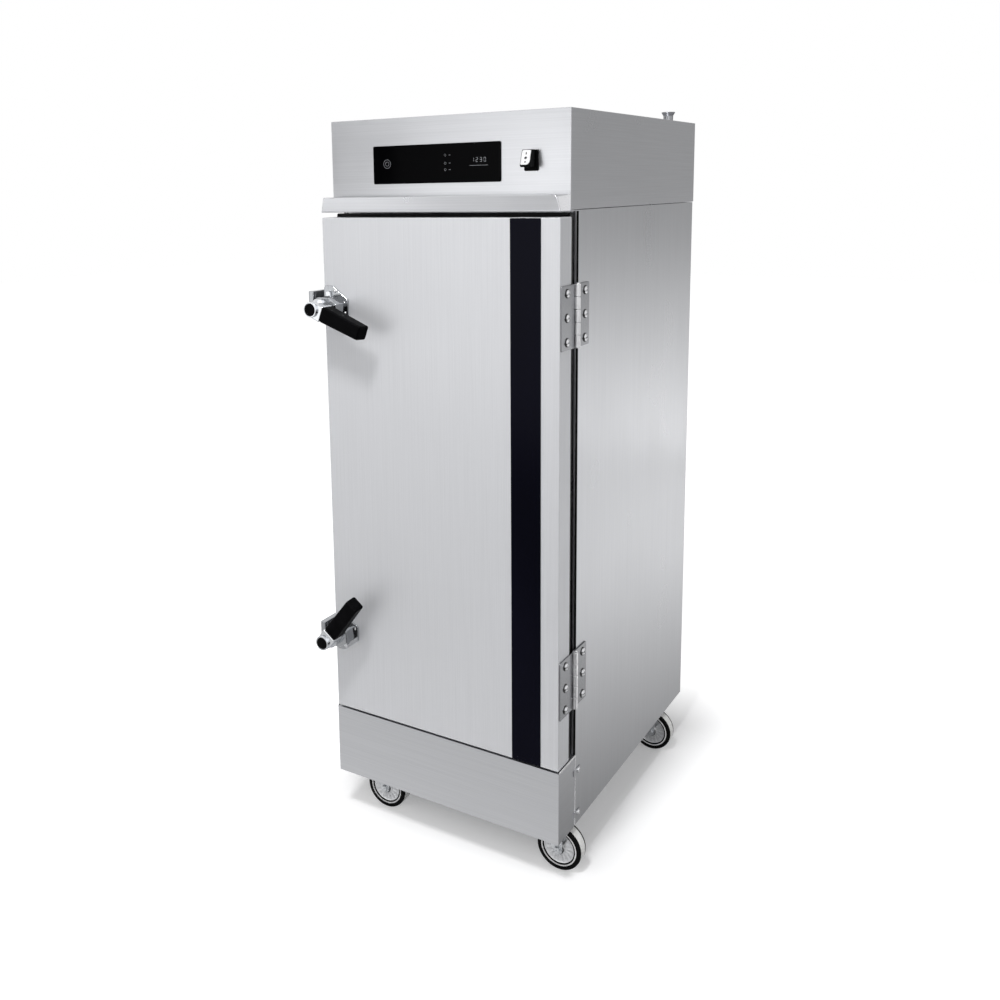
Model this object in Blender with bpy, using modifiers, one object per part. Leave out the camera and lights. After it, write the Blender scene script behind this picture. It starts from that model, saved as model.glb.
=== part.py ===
"""Steam cabinet on four castors: a double-walled chamber with tray racks over a heated water tank,
a side-hung door closed by two cam latches, and a control head on top.

Metres, +Z up, the floor at zero. The cabinet is described from the middle of its width and from
the front face of its control head, with +Y towards the back, and one empty carries it all so
that the finished object stands centred over the origin.
"""

import math

import bmesh
import bpy
from mathutils import Matrix, Vector

# Air left between two pieces that touch
GAP = 0.0003

# Faces that meet at more than this keep a sharp edge between them
SHARP_ANGLE = math.radians(30)

# Cabinet body
WIDTH = 0.560
HALF = WIDTH / 2
SHEET = 0.0015
PANEL_FRONT = 0.038
PANEL_BACK = 0.718
BACK_FACE = 0.7203
BODY_LOW = 0.106
BODY_HIGH = 1.401
WALL_INSIDE = 0.236
CORE_LOW = 0.267
LINER = 0.0015
ROOF_LOW = 1.365

# Mouth of the chamber
FRAME_HALF = 0.268
FRAME_LOW = 0.2664
FRAME_HIGH = 1.395
FRAME_FRONT = 0.0203
MOUTH_HALF = 0.232
MOUTH_LOW = 0.299
MOUTH_HIGH = 1.361

# Door
DOOR_FRONT = -0.044
DOOR_BACK = 0.006
DOOR_HALF = 0.279
DOOR_LOW = 0.27
DOOR_HIGH = 1.389
HINGE_AXIS = (0.2845, 0.024)
HINGE_HEIGHTS = {"upper": 1.198, "lower": 0.443}
STRIP_SIDES = (0.1738, 0.2394)

# Control head
HEAD_LOW = 1.402
HEAD_HIGH = 1.591
HEAD_DEPTH = 0.727
GLASS_LOW = (-0.170, 1.457)
GLASS_HIGH = (0.132, 1.535)
SWITCH_CENTRE = (0.198, 1.496)
SWITCH_SIZE = (0.030, 0.040)
LIP_HIGH = 1.431
VENT_PLACE = (0.236, 0.657)
VENT_BORE = 0.009

# Plinth and what stands under it
PLINTH_HIGH = 0.266
CHASSIS_LOW = 0.1342
CHASSIS_FRONT = 0.002
TANK_LOW = 0.179
TANK_HIGH = 0.288
TANK_FRONT = 0.042
TANK_BACK = 0.668
TANK_HALF = 0.2315

# Trays
TRAY_LEVELS = 12
TRAY_PITCH = 0.082
FIRST_RUNNER = 0.348
RUNNER_REACH = 0.209

# Cam latches
LATCH_X = -0.258
LATCHES = {
    "upper": {"height": 1.200, "hand": 1, "grip_angle": math.radians(-21)},
    "lower": {"height": 0.456, "hand": -1, "grip_angle": math.radians(52)},
}
TONGUE_LEAD = math.radians(120)
TONGUE_REACH = 0.033
LATCH_FRONT = -0.124
BOSS_FRONT = -0.0825
TONGUE_SIDES = (-0.0545, -0.0487)
KEEPER_RISE = 0.0059
KEEPER_HALF = 0.0267
KEEPER_SIDES = (-0.3050, -0.2915)
KEEPER_FRONT = -0.0675
ROLLER_Y = -0.0610
ROLLER_RISE = 0.0113
ROLLER_RADIUS = 0.0061

# Castors
WHEEL_RADIUS = 0.0508
WHEEL_WIDTH = 0.032
WHEEL_FACETS = 24
AXLE_HEIGHT = WHEEL_RADIUS * math.cos(math.pi / WHEEL_FACETS)
CASTOR_X = 0.223
CASTOR_ROWS = {"front": 0.039, "rear": 0.601}
TRAIL = 0.026
MOUNT_PLATE = (0.090, 0.070, 0.0032)

# Services on the back
DRAIN_PLACE = (-0.150, 0.208)
DRAIN_END = 0.765
INLET_PLACE = (0.150, 0.253)
GLAND_PLACE = (0.210, 0.333)

# The whole object's reach, which sets where its middle is
LEFT_REACH = KEEPER_SIDES[0]
RIGHT_REACH = CASTOR_X + TRAIL + WHEEL_RADIUS * math.cos(math.pi / WHEEL_FACETS)
MIDDLE = ((LEFT_REACH + RIGHT_REACH) / 2, (LATCH_FRONT + DRAIN_END) / 2)


def empty_scene():
    for obj in list(bpy.data.objects):
        bpy.data.objects.remove(obj, do_unlink=True)


def new_collection(name):
    collection = bpy.data.collections.new(name)
    bpy.context.scene.collection.children.link(collection)
    return collection


empty_scene()
PARTS = new_collection("steam_cabinet")
CUTTERS = new_collection("cutters")


def material(name, colour, roughness, metallic=0.0):
    """A plain finish from an sRGB hex colour."""
    made = bpy.data.materials.new(name)
    made.use_nodes = True
    channels = [int(colour[i : i + 2], 16) / 255 for i in (0, 2, 4)]
    linear = [((c + 0.055) / 1.055) ** 2.4 if c > 0.04045 else c / 12.92 for c in channels]
    shader = made.node_tree.nodes["Principled BSDF"]
    shader.inputs["Base Color"].default_value = (*linear, 1.0)
    shader.inputs["Roughness"].default_value = roughness
    shader.inputs["Metallic"].default_value = metallic
    made.diffuse_color = (*linear, 1.0)
    return made


BRUSHED = material("brushed_stainless", "c4c5c8", 0.35, 1.0)
SATIN = material("satin_stainless", "b4b6ba", 0.30, 1.0)
CHROME = material("chromed_zinc", "d8dadc", 0.12, 1.0)
ZINC = material("zinc_plated_steel", "a9acb0", 0.35, 1.0)
BRASS = material("brass", "b39b5a", 0.35, 1.0)
BLACK = material("black_moulding", "141416", 0.45)
GLASS = material("black_glass", "050507", 0.08)
NAVY = material("navy_film", "0a0a28", 0.35)
SEAL = material("silicone_seal", "3a3b3e", 0.60)
RUBBER = material("castor_rubber", "1a1a1b", 0.70)
CASTING = material("wheel_casting", "b8babd", 0.40, 0.6)
CONTROLS = material("control_housing", "2a2c30", 0.50)


def empty(name, at, parent=None):
    """A joint's axis, or the cabinet itself, given in the cabinet's own measure."""
    made = bpy.data.objects.new(name, None)
    PARTS.objects.link(made)
    made.empty_display_size = 0.05
    made.location = Vector(at) - anchor(parent)
    made.parent = parent
    return made


def anchor(carrier):
    """Where a carrier's origin lies in the cabinet's own measure."""
    place = Vector((0, 0, 0))
    while carrier is not None and carrier.name != "cabinet":
        place += carrier.location
        carrier = carrier.parent
    return place


def put(name, data, carrier, finish, at=(0, 0, 0), turn=None):
    """A named piece on its carrier, or a hidden tool where it has no finish."""
    obj = bpy.data.objects.new(name, data)
    if finish is None:
        CUTTERS.objects.link(obj)
        obj.hide_render = True
        obj.display_type = "WIRE"
    else:
        PARTS.objects.link(obj)
        data.materials.append(finish)
    obj.parent = carrier
    obj.location = Vector(at) - anchor(carrier)
    if turn is not None:
        obj.rotation_euler = turn.to_euler()
    return obj


def block(name, low, high, carrier, finish=None, turn=None, about=None):
    """A box between two corners, or one that is turned about a point."""
    low, high = Vector(low), Vector(high)
    origin = (low + high) / 2 if about is None else Vector(about)
    shaper = bmesh.new()
    bmesh.ops.create_cube(shaper, size=1.0)
    bmesh.ops.scale(shaper, vec=high - low, verts=shaper.verts)
    bmesh.ops.translate(shaper, vec=(low + high) / 2 - origin, verts=shaper.verts)
    mesh = bpy.data.meshes.new(name)
    shaper.to_mesh(mesh)
    shaper.free()
    return put(name, mesh, carrier, finish, origin, turn)


# Where an outline's first and second measure and its depth point, for each plane it is drawn in
PLANES = {
    "XY": Matrix(((1, 0, 0), (0, 1, 0), (0, 0, 1))),
    "XZ": Matrix(((1, 0, 0), (0, 0, -1), (0, 1, 0))),
    "YZ": Matrix(((0, 0, 1), (1, 0, 0), (0, 1, 0))),
}


def anticlockwise(points):
    """The same outline with its inside on the left, as its signed area tells."""
    area = 0.0
    for (u, v), (next_u, next_v) in zip(points, points[1:] + points[:1]):
        area += u * next_v - next_u * v
    return points if area > 0 else points[::-1]


def outline(name, points, plane, near, far, carrier, finish=None, at=(0, 0, 0)):
    """A flat outline given depth, from near to far along the axis that its plane leaves out."""
    curve = bpy.data.curves.new(name, "CURVE")
    curve.dimensions = "2D"
    curve.fill_mode = "BOTH"
    curve.extrude = (far - near) / 2
    spline = curve.splines.new("POLY")
    spline.points.add(len(points) - 1)
    for spot, (u, v) in zip(spline.points, anticlockwise(points)):
        spot.co = (u, v, 0, 1)
    spline.use_cyclic_u = True
    drawn = bpy.data.objects.new(name, curve)
    bpy.context.scene.collection.objects.link(drawn)
    graph = bpy.context.evaluated_depsgraph_get()
    mesh = bpy.data.meshes.new_from_object(drawn.evaluated_get(graph))
    bpy.data.objects.remove(drawn, do_unlink=True)
    bpy.data.curves.remove(curve)
    shaper = bmesh.new()
    shaper.from_mesh(mesh)
    bmesh.ops.remove_doubles(shaper, verts=shaper.verts, dist=0.00001)
    bmesh.ops.transform(shaper, matrix=PLANES[plane].to_4x4(), verts=shaper.verts)
    across = PLANES[plane].col[2] * (-(near + far) / 2 if plane == "XZ" else (near + far) / 2)
    bmesh.ops.translate(shaper, vec=across, verts=shaper.verts)
    bmesh.ops.recalc_face_normals(shaper, faces=shaper.faces)
    shaper.to_mesh(mesh)
    shaper.free()
    mesh.name = name
    return put(name, mesh, carrier, finish, at)


def turned(name, profile, axis, at, carrier, finish=None, facets=24, half_step=False, closed=False):
    """A profile of (radius, height) points, down its outer side, carried round an axis."""
    shaper = bmesh.new()
    start = math.pi / facets if half_step else 0.0
    spots = []
    for radius, height in profile:
        spots.append(shaper.verts.new((radius, 0.0, height)))
    for first, second in zip(spots, spots[1:]):
        shaper.edges.new((first, second))
    if closed:
        shaper.edges.new((spots[-1], spots[0]))
    mesh = bpy.data.meshes.new(name)
    shaper.to_mesh(mesh)
    shaper.free()
    lean = {
        "X": Matrix.Rotation(math.pi / 2, 3, "Y"),
        "Y": Matrix.Rotation(-math.pi / 2, 3, "X"),
        "Z": Matrix.Identity(3),
    }[axis]
    obj = put(name, mesh, carrier, finish, at, lean @ Matrix.Rotation(start, 3, "Z"))
    screw = obj.modifiers.new("turn", "SCREW")
    screw.steps = facets
    screw.render_steps = facets
    screw.use_merge_vertices = True
    screw.merge_threshold = 0.00001
    graph = bpy.context.evaluated_depsgraph_get()
    obj.data = bpy.data.meshes.new_from_object(obj.evaluated_get(graph))
    obj.data.name = name
    obj.modifiers.clear()
    obj.data.shade_smooth()
    obj.data.set_sharp_from_angle(angle=SHARP_ANGLE)
    return obj


def rod(name, radius, axis, low, high, across, carrier, finish=None, facets=16):
    """A plain round bar along an axis, from low to high, at its two other measures."""
    at = {
        "X": (0, across[0], across[1]),
        "Y": (across[0], 0, across[1]),
        "Z": (across[0], across[1], 0),
    }[axis]
    profile = [(0, high), (radius, high), (radius, low), (0, low)]
    return turned(name, profile, axis, at, carrier, finish, facets)


def combine(obj, other, operation):
    step = obj.modifiers.new(operation.lower(), "BOOLEAN")
    step.solver = "EXACT"
    step.operation = operation
    step.object = other
    return obj


def cut(obj, *tools):
    for tool in tools:
        combine(obj, tool, "DIFFERENCE")
    return obj


def join(obj, *others):
    for other in others:
        combine(obj, other, "UNION")
    return obj


def soften(obj, width, steps=2):
    """Rounded edges."""
    bevel = obj.modifiers.new("edges", "BEVEL")
    bevel.width = width
    bevel.segments = steps
    bevel.limit_method = "ANGLE"
    bevel.angle_limit = math.radians(40)
    return obj


def rounded(corners, radius, steps=3):
    """An outline whose corners are arcs; radius is one value, or one for each corner."""
    radii = radius if isinstance(radius, (list, tuple)) else [radius] * len(corners)
    points = []
    for i, size in enumerate(radii):
        corner = Vector(corners[i])
        if size == 0:
            points.append(tuple(corner))
            continue
        before = (Vector(corners[i - 1]) - corner).normalized()
        after = (Vector(corners[(i + 1) % len(corners)]) - corner).normalized()
        half = before.angle(after) / 2
        centre = corner + (before + after).normalized() * size / math.sin(half)
        first = corner + before * size / math.tan(half) - centre
        last = corner + after * size / math.tan(half) - centre
        sweep = first.angle_signed(last)
        for step in range(steps + 1):
            points.append(tuple(centre + Matrix.Rotation(-sweep * step / steps, 2) @ first))
    return points


def rectangle(low, high):
    return [low, (high[0], low[1]), high, (low[0], high[1])]


def spin(points, angle):
    return [tuple(Matrix.Rotation(angle, 2) @ Vector(p)) for p in points]


CABINET = empty("cabinet", (-MIDDLE[0], -MIDDLE[1], 0))


def side_panel(name, side):
    """A wall: a skin that reaches down over the base, and the folded pan of its insulated part."""
    skin_inside = side * (HALF - SHEET)
    section = [
        (side * HALF, BODY_LOW),
        (side * HALF, BODY_HIGH),
        (side * WALL_INSIDE, BODY_HIGH),
        (side * WALL_INSIDE, CORE_LOW),
        (skin_inside, CORE_LOW),
        (skin_inside, BODY_LOW),
    ]
    panel = outline(name, section, "XZ", PANEL_FRONT, PANEL_BACK, CABINET, BRUSHED)
    soften(panel, 0.0004, 1)
    reach = side * (WALL_INSIDE - 0.01)
    hollow = block(
        "panel_hollow",
        (min(reach, skin_inside), PANEL_FRONT + SHEET, CORE_LOW + SHEET),
        (max(reach, skin_inside), PANEL_BACK - SHEET, BODY_HIGH - SHEET),
        CABINET,
    )
    cut(panel, hollow)


def back_panel():
    """The back skin, with the folded pan that stands behind the chamber."""
    core_half = WALL_INSIDE - GAP
    core_front = 0.6760
    skin = block(
        "back_panel",
        (-HALF, PANEL_BACK + GAP, BODY_LOW),
        (HALF, BACK_FACE, BODY_HIGH),
        CABINET,
        BRUSHED,
    )
    core = block(
        "back_core",
        (-core_half, core_front, CORE_LOW),
        (core_half, PANEL_BACK + 0.001, BODY_HIGH - 0.002),
        CABINET,
    )
    hollow = block(
        "back_hollow",
        (-core_half + SHEET, core_front - 0.01, CORE_LOW + SHEET),
        (core_half - SHEET, PANEL_BACK - 0.001, BODY_HIGH - 0.002 - SHEET),
        CABINET,
    )
    cut(join(skin, core), hollow)


def roof_panel():
    """The chamber's ceiling: a folded tray, open upwards, that closes the three walls."""
    half = WALL_INSIDE - GAP
    front = PANEL_FRONT + GAP
    roof = block("roof_panel", (-half, front, ROOF_LOW), (half, 0.6757, BODY_HIGH - 0.001), CABINET, SATIN)
    hollow = block(
        "roof_hollow",
        (-half + SHEET, front + SHEET, ROOF_LOW + SHEET),
        (half - SHEET, 0.6757 - SHEET, BODY_HIGH + 0.01),
        CABINET,
    )
    cut(roof, hollow)


def liners():
    """Thin polished sheets on the inside of the walls."""
    for name, side in (("left", -1), ("right", 1)):
        outside = side * (WALL_INSIDE - GAP)
        inside = side * (WALL_INSIDE - GAP - LINER)
        low = (min(outside, inside), PANEL_FRONT + GAP, CORE_LOW)
        high = (max(outside, inside), 0.6740, ROOF_LOW - GAP)
        block("liner_" + name, low, high, CABINET, SATIN)
    half = WALL_INSIDE - 2 * GAP - LINER
    block(
        "liner_back",
        (-half, 0.6757 - LINER, CORE_LOW),
        (half, 0.6757, ROOF_LOW - GAP),
        CABINET,
        SATIN,
    )


def face_frame():
    """The folded frame round the chamber's mouth, which the door seal presses on."""
    frame = block(
        "face_frame",
        (-FRAME_HALF, FRAME_FRONT, FRAME_LOW),
        (FRAME_HALF, PANEL_FRONT - GAP, FRAME_HIGH),
        CABINET,
        SATIN,
    )
    mouth = block(
        "mouth",
        (-MOUTH_HALF, FRAME_FRONT - 0.01, MOUTH_LOW),
        (MOUTH_HALF, PANEL_FRONT + 0.01, MOUTH_HIGH),
        CABINET,
    )
    channel = block(
        "frame_channel",
        (-FRAME_HALF + SHEET, FRAME_FRONT + SHEET, FRAME_LOW + SHEET),
        (FRAME_HALF - SHEET, PANEL_FRONT + 0.01, FRAME_HIGH - SHEET),
        CABINET,
    )
    throat = block(
        "frame_throat",
        (-MOUTH_HALF - SHEET, FRAME_FRONT - 0.01, MOUTH_LOW - SHEET),
        (MOUTH_HALF + SHEET, PANEL_FRONT + 0.02, MOUTH_HIGH + SHEET),
        CABINET,
    )
    cut(channel, throat)
    cut(frame, mouth, channel)


def plinth():
    """A folded skirt in the door's plane, with two screw tabs over each side panel."""
    skirt = block(
        "plinth",
        (-HALF, DOOR_FRONT, BODY_LOW),
        (HALF, PANEL_FRONT - GAP, PLINTH_HIGH),
        CABINET,
        BRUSHED,
    )
    hollow = block(
        "plinth_hollow",
        (-HALF + SHEET, DOOR_FRONT + SHEET, BODY_LOW - 0.01),
        (HALF - SHEET, PANEL_FRONT + 0.02, PLINTH_HIGH - SHEET),
        CABINET,
    )
    cut(skirt, hollow)
    step_out = HALF + GAP
    tab_face = HALF + 0.0018
    for side in (-1, 1):
        for height in (0.131, 0.229):
            corners = [
                (side * (HALF - 0.001), 0.028),
                (side * tab_face, 0.028),
                (side * tab_face, 0.060),
                (side * step_out, 0.060),
                (side * step_out, PANEL_FRONT - GAP),
                (side * (HALF - 0.001), PANEL_FRONT - GAP),
            ]
            tab = outline("plinth_tab", corners, "XY", height - 0.006, height + 0.006, CABINET)
            join(skirt, tab)


def base_chassis():
    """The floor tray of the cabinet, with the four castor plates bolted under it."""
    width = HALF - SHEET - 0.0004
    tray = block(
        "base_chassis",
        (-width, CHASSIS_FRONT, CHASSIS_LOW),
        (width, PANEL_BACK - 0.0005, CHASSIS_LOW + 0.026),
        CABINET,
        ZINC,
    )
    inside = block(
        "chassis_inside",
        (-width + 0.003, CHASSIS_FRONT + 0.003, CHASSIS_LOW + 0.003),
        (width - 0.003, PANEL_BACK - 0.0035, CHASSIS_LOW + 0.04),
        CABINET,
    )
    cut(tray, inside)
    long, wide, thick = MOUNT_PLATE
    for row in CASTOR_ROWS.values():
        for side in (-1, 1):
            middle = (side * CASTOR_X, row)
            plate = block(
                "castor_plate",
                (middle[0] - long / 2, middle[1] - wide / 2, CHASSIS_LOW - thick),
                (middle[0] + long / 2, middle[1] + wide / 2, CHASSIS_LOW + 0.0005),
                CABINET,
            )
            join(tray, plate)


def water_tank():
    """An open-topped tank that boils the water under the chamber, on two bearers."""
    tank = block(
        "water_tank",
        (-TANK_HALF, TANK_FRONT, TANK_LOW),
        (TANK_HALF, TANK_BACK, TANK_HIGH),
        CABINET,
        SATIN,
    )
    wall = 0.0018
    inside = block(
        "tank_inside",
        (-TANK_HALF + wall, TANK_FRONT + wall, TANK_LOW + wall),
        (TANK_HALF - wall, TANK_BACK - wall, TANK_HIGH + 0.02),
        CABINET,
    )
    cut(tank, inside)
    for side in (-1, 1):
        bearer = block(
            "tank_bearer",
            (side * 0.150 - 0.015, TANK_FRONT + 0.02, CHASSIS_LOW + 0.003 + GAP),
            (side * 0.150 + 0.015, TANK_BACK - 0.02, TANK_LOW + 0.001),
            CABINET,
        )
        join(tank, bearer)


def heating_element():
    """One hairpin of sheathed tube, out and back twice over the tank's floor, on its flange."""
    height = TANK_LOW + 0.032
    reach = 0.110
    lanes = [-0.105, -0.035, 0.035, 0.105]
    back = TANK_BACK - 0.012
    turn = (lanes[1] - lanes[0]) / 2
    route = [(lanes[0], back)]
    ends = [reach, back - 0.110, reach]
    for lane, nxt, end in zip(lanes, lanes[1:], ends):
        way = -1 if end == reach else 1
        for step in range(7):
            angle = math.pi * step / 6
            middle = (lane + nxt) / 2
            route.append((middle - turn * math.cos(angle), end + way * turn * math.sin(angle)))
    route.append((lanes[-1], back))
    curve = bpy.data.curves.new("heating_element", "CURVE")
    curve.dimensions = "3D"
    curve.bevel_depth = 0.0055
    curve.bevel_resolution = 1
    curve.use_fill_caps = True
    spline = curve.splines.new("POLY")
    spline.points.add(len(route) - 1)
    for spot, (x, y) in zip(spline.points, route):
        spot.co = (x, y, height, 1)
    drawn = bpy.data.objects.new("hairpin", curve)
    bpy.context.scene.collection.objects.link(drawn)
    graph = bpy.context.evaluated_depsgraph_get()
    mesh = bpy.data.meshes.new_from_object(drawn.evaluated_get(graph))
    bpy.data.objects.remove(drawn, do_unlink=True)
    shaper = bmesh.new()
    shaper.from_mesh(mesh)
    bmesh.ops.remove_doubles(shaper, verts=shaper.verts, dist=0.00001)
    bmesh.ops.recalc_face_normals(shaper, faces=shaper.faces)
    shaper.to_mesh(mesh)
    shaper.free()
    element = put("heating_element", mesh, CABINET, ZINC)
    flange = block(
        "element_flange",
        (-0.125, back - 0.003, TANK_LOW + 0.0018 + GAP),
        (0.125, TANK_BACK - 0.0018 - GAP, height + 0.016),
        CABINET,
    )
    join(element, flange)


def drip_plate():
    """The chamber's slotted floor, which lies on the tank's sides and leaves gaps at both ends."""
    front, back = TANK_FRONT + 0.032, TANK_BACK - 0.030
    plate = block(
        "drip_plate",
        (-TANK_HALF, front, TANK_HIGH + GAP),
        (TANK_HALF, back, TANK_HIGH + GAP + SHEET),
        CABINET,
        SATIN,
    )
    columns, rows = 5, 5
    pitch = (0.080, 0.110)
    slot_half = (0.028, 0.007)
    for column in range(columns):
        for row in range(rows):
            x = (column - (columns - 1) / 2) * pitch[0]
            y = (front + back) / 2 + (row - (rows - 1) / 2) * pitch[1]
            slot = block(
                "steam_slot",
                (x - slot_half[0], y - slot_half[1], TANK_HIGH - 0.005),
                (x + slot_half[0], y + slot_half[1], TANK_HIGH + 0.010),
                CABINET,
            )
            cut(plate, slot)


def mirrored(obj):
    """The same mesh for the other side of the cabinet, its faces still turned outward."""
    shaper = bmesh.new()
    shaper.from_mesh(obj.data)
    bmesh.ops.scale(shaper, vec=(-1, 1, 1), verts=shaper.verts)
    bmesh.ops.reverse_faces(shaper, faces=shaper.faces)
    shaper.to_mesh(obj.data)
    shaper.free()
    return obj


def tray_rack(name, side):
    """Runners of angle for the trays, carried by three uprights against the liner."""
    wall = WALL_INSIDE - 2 * GAP - LINER
    post = wall - 0.002
    leg = post - 0.002
    foot = MOUTH_LOW - 0.006
    top = 1.355
    section = [(wall, top), (wall, foot), (post, foot)]
    for level in range(TRAY_LEVELS):
        ledge = FIRST_RUNNER + level * TRAY_PITCH
        section += [
            (post, ledge),
            (RUNNER_REACH, ledge),
            (RUNNER_REACH, ledge + 0.002),
            (leg, ledge + 0.002),
            (leg, ledge + 0.016),
            (post, ledge + 0.016),
        ]
    section.append((post, top))
    rack = outline(name, section, "XZ", 0.056, 0.664, CABINET, SATIN)
    if side < 0:
        mirrored(rack)
    for front, back in ((0.080, 0.346), (0.374, 0.640)):
        ends = sorted((side * (post - 0.0007), side * (wall + 0.01)))
        bay = block("rack_bay", (ends[0], front, foot + 0.030), (ends[1], back, top - 0.020), CABINET)
        cut(rack, bay)


def head_shell():
    """Front, sides and floor of the control head, with the openings for display and switch."""
    shell = block(
        "head_shell",
        (-HALF, 0, HEAD_LOW),
        (HALF, HEAD_DEPTH, HEAD_HIGH),
        CABINET,
        BRUSHED,
    )
    soften(shell, 0.0008, 1)
    hollow = block(
        "head_hollow",
        (-HALF + SHEET, SHEET, HEAD_LOW + SHEET),
        (HALF - SHEET, HEAD_DEPTH + 0.02, HEAD_HIGH + 0.02),
        CABINET,
    )
    window = block(
        "display_window",
        (GLASS_LOW[0] + 0.008, -0.01, GLASS_LOW[1] + 0.008),
        (GLASS_HIGH[0] - 0.008, 0.01, GLASS_HIGH[1] - 0.008),
        CABINET,
    )
    socket = block(
        "switch_cutout",
        (SWITCH_CENTRE[0] - 0.011, -0.01, SWITCH_CENTRE[1] - 0.016),
        (SWITCH_CENTRE[0] + 0.011, 0.01, SWITCH_CENTRE[1] + 0.016),
        CABINET,
    )
    cut(shell, hollow, window, socket)


def head_covers():
    """The lid let into the top, and the louvred plate let into the back."""
    edge = HALF - SHEET - GAP
    lid = block(
        "head_top_cover",
        (-edge, SHEET + GAP, HEAD_HIGH - SHEET),
        (edge, HEAD_DEPTH, HEAD_HIGH),
        CABINET,
        BRUSHED,
    )
    low, high = HEAD_HIGH - 0.01, HEAD_HIGH + 0.01
    hole = rod("vent_hole", VENT_BORE, "Z", low, high, VENT_PLACE, CABINET, None, 20)
    cut(lid, hole)
    plate = block(
        "head_back_cover",
        (-edge, HEAD_DEPTH - SHEET, HEAD_LOW + SHEET + GAP),
        (edge, HEAD_DEPTH, HEAD_HIGH - SHEET - GAP),
        CABINET,
        BRUSHED,
    )
    for row in range(5):
        for side in (-1, 1):
            height = 1.453 + row * 0.018
            louvre = block(
                "louvre",
                (side * 0.120 - 0.060, HEAD_DEPTH - 0.01, height),
                (side * 0.120 + 0.060, HEAD_DEPTH + 0.01, height + 0.005),
                CABINET,
            )
            cut(plate, louvre)


def drip_lip():
    """The folded strip under the head that keeps condensate off the door's top edge."""
    face = rounded(
        [(-0.2800, HEAD_LOW), (0.2795, HEAD_LOW), (0.2670, LIP_HIGH), (-0.2785, LIP_HIGH)],
        [0, 0, 0.007, 0.003],
    )
    lip = outline("drip_lip", face, "XZ", DOOR_FRONT, DOOR_FRONT + SHEET, CABINET, BRUSHED)
    shelf = block(
        "lip_shelf",
        (-0.2740, DOOR_FRONT + 0.001, LIP_HIGH - SHEET),
        (0.2590, -GAP, LIP_HIGH),
        CABINET,
    )
    foot = block(
        "lip_flange",
        (-0.2740, -SHEET - GAP, LIP_HIGH - 0.014),
        (0.2590, -GAP, LIP_HIGH - 0.001),
        CABINET,
    )
    join(lip, shelf, foot)


def controls():
    """Display glass, the control unit behind it, and the switch with its rocker."""
    glass = rounded(rectangle(GLASS_LOW, GLASS_HIGH), 0.003)
    outline("display_glass", glass, "XZ", -0.0023, -GAP, CABINET, GLASS)
    unit = block(
        "control_unit",
        (GLASS_LOW[0] + 0.02, 0.020, HEAD_LOW + SHEET + GAP),
        (GLASS_HIGH[0] - 0.02, 0.120, 1.473),
        CABINET,
        CONTROLS,
    )
    soften(unit, 0.003)
    x, z = SWITCH_CENTRE
    wide, tall = SWITCH_SIZE
    flange = rounded(rectangle((x - wide / 2, z - tall / 2), (x + wide / 2, z + tall / 2)), 0.003)
    base = outline("switch_base", flange, "XZ", -0.0043, -GAP, CABINET, BLACK)
    barrel = block("barrel", (x - 0.0105, -0.001, z - 0.0155), (x + 0.0105, 0.020, z + 0.0155), CABINET)
    join(base, barrel)
    axis = empty("switch_axis", (x, -0.0050, z + 0.004), CABINET)
    side = [
        (0.0000, 0.0000),
        (0.0000, 0.0160),
        (-0.0150, 0.0160),
        (-0.0250, -0.0140),
        (-0.0215, -0.0170),
        (-0.0050, -0.0170),
    ]
    rocker = outline("switch_rocker", side, "YZ", -0.0105, 0.0105, axis, BLACK, anchor(axis))
    soften(rocker, 0.0012)


def vent_stub():
    """A short flared pipe that lets spare steam out through the lid."""
    foot = HEAD_HIGH + GAP
    profile = [
        (VENT_BORE, foot + 0.0250),
        (0.0160, foot + 0.0250),
        (0.0155, foot + 0.0225),
        (0.0118, foot + 0.0170),
        (0.0115, foot + 0.0020),
        (0.0200, foot + 0.0018),
        (0.0200, foot),
        (VENT_BORE, foot),
    ]
    turned("vent_stub", profile, "Z", (*VENT_PLACE, 0), CABINET, SATIN, 24, closed=True)


LEAF_TALL = 0.125
KNUCKLES = 5
KNUCKLE_RADIUS = 0.0060
PIN_RADIUS = 0.0030


def knuckle(name, index, low, carrier):
    """One knuckle's barrel with its bore, as a tool that is joined to its leaf."""
    length = LEAF_TALL / KNUCKLES
    bottom = low + index * length + GAP / 2
    top = low + (index + 1) * length - GAP / 2
    bore = PIN_RADIUS + GAP
    barrel = [(bore, top), (KNUCKLE_RADIUS, top), (KNUCKLE_RADIUS, bottom), (bore, bottom)]
    return turned(name, barrel, "Z", (*HINGE_AXIS, 0), carrier, None, 16, closed=True)


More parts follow.
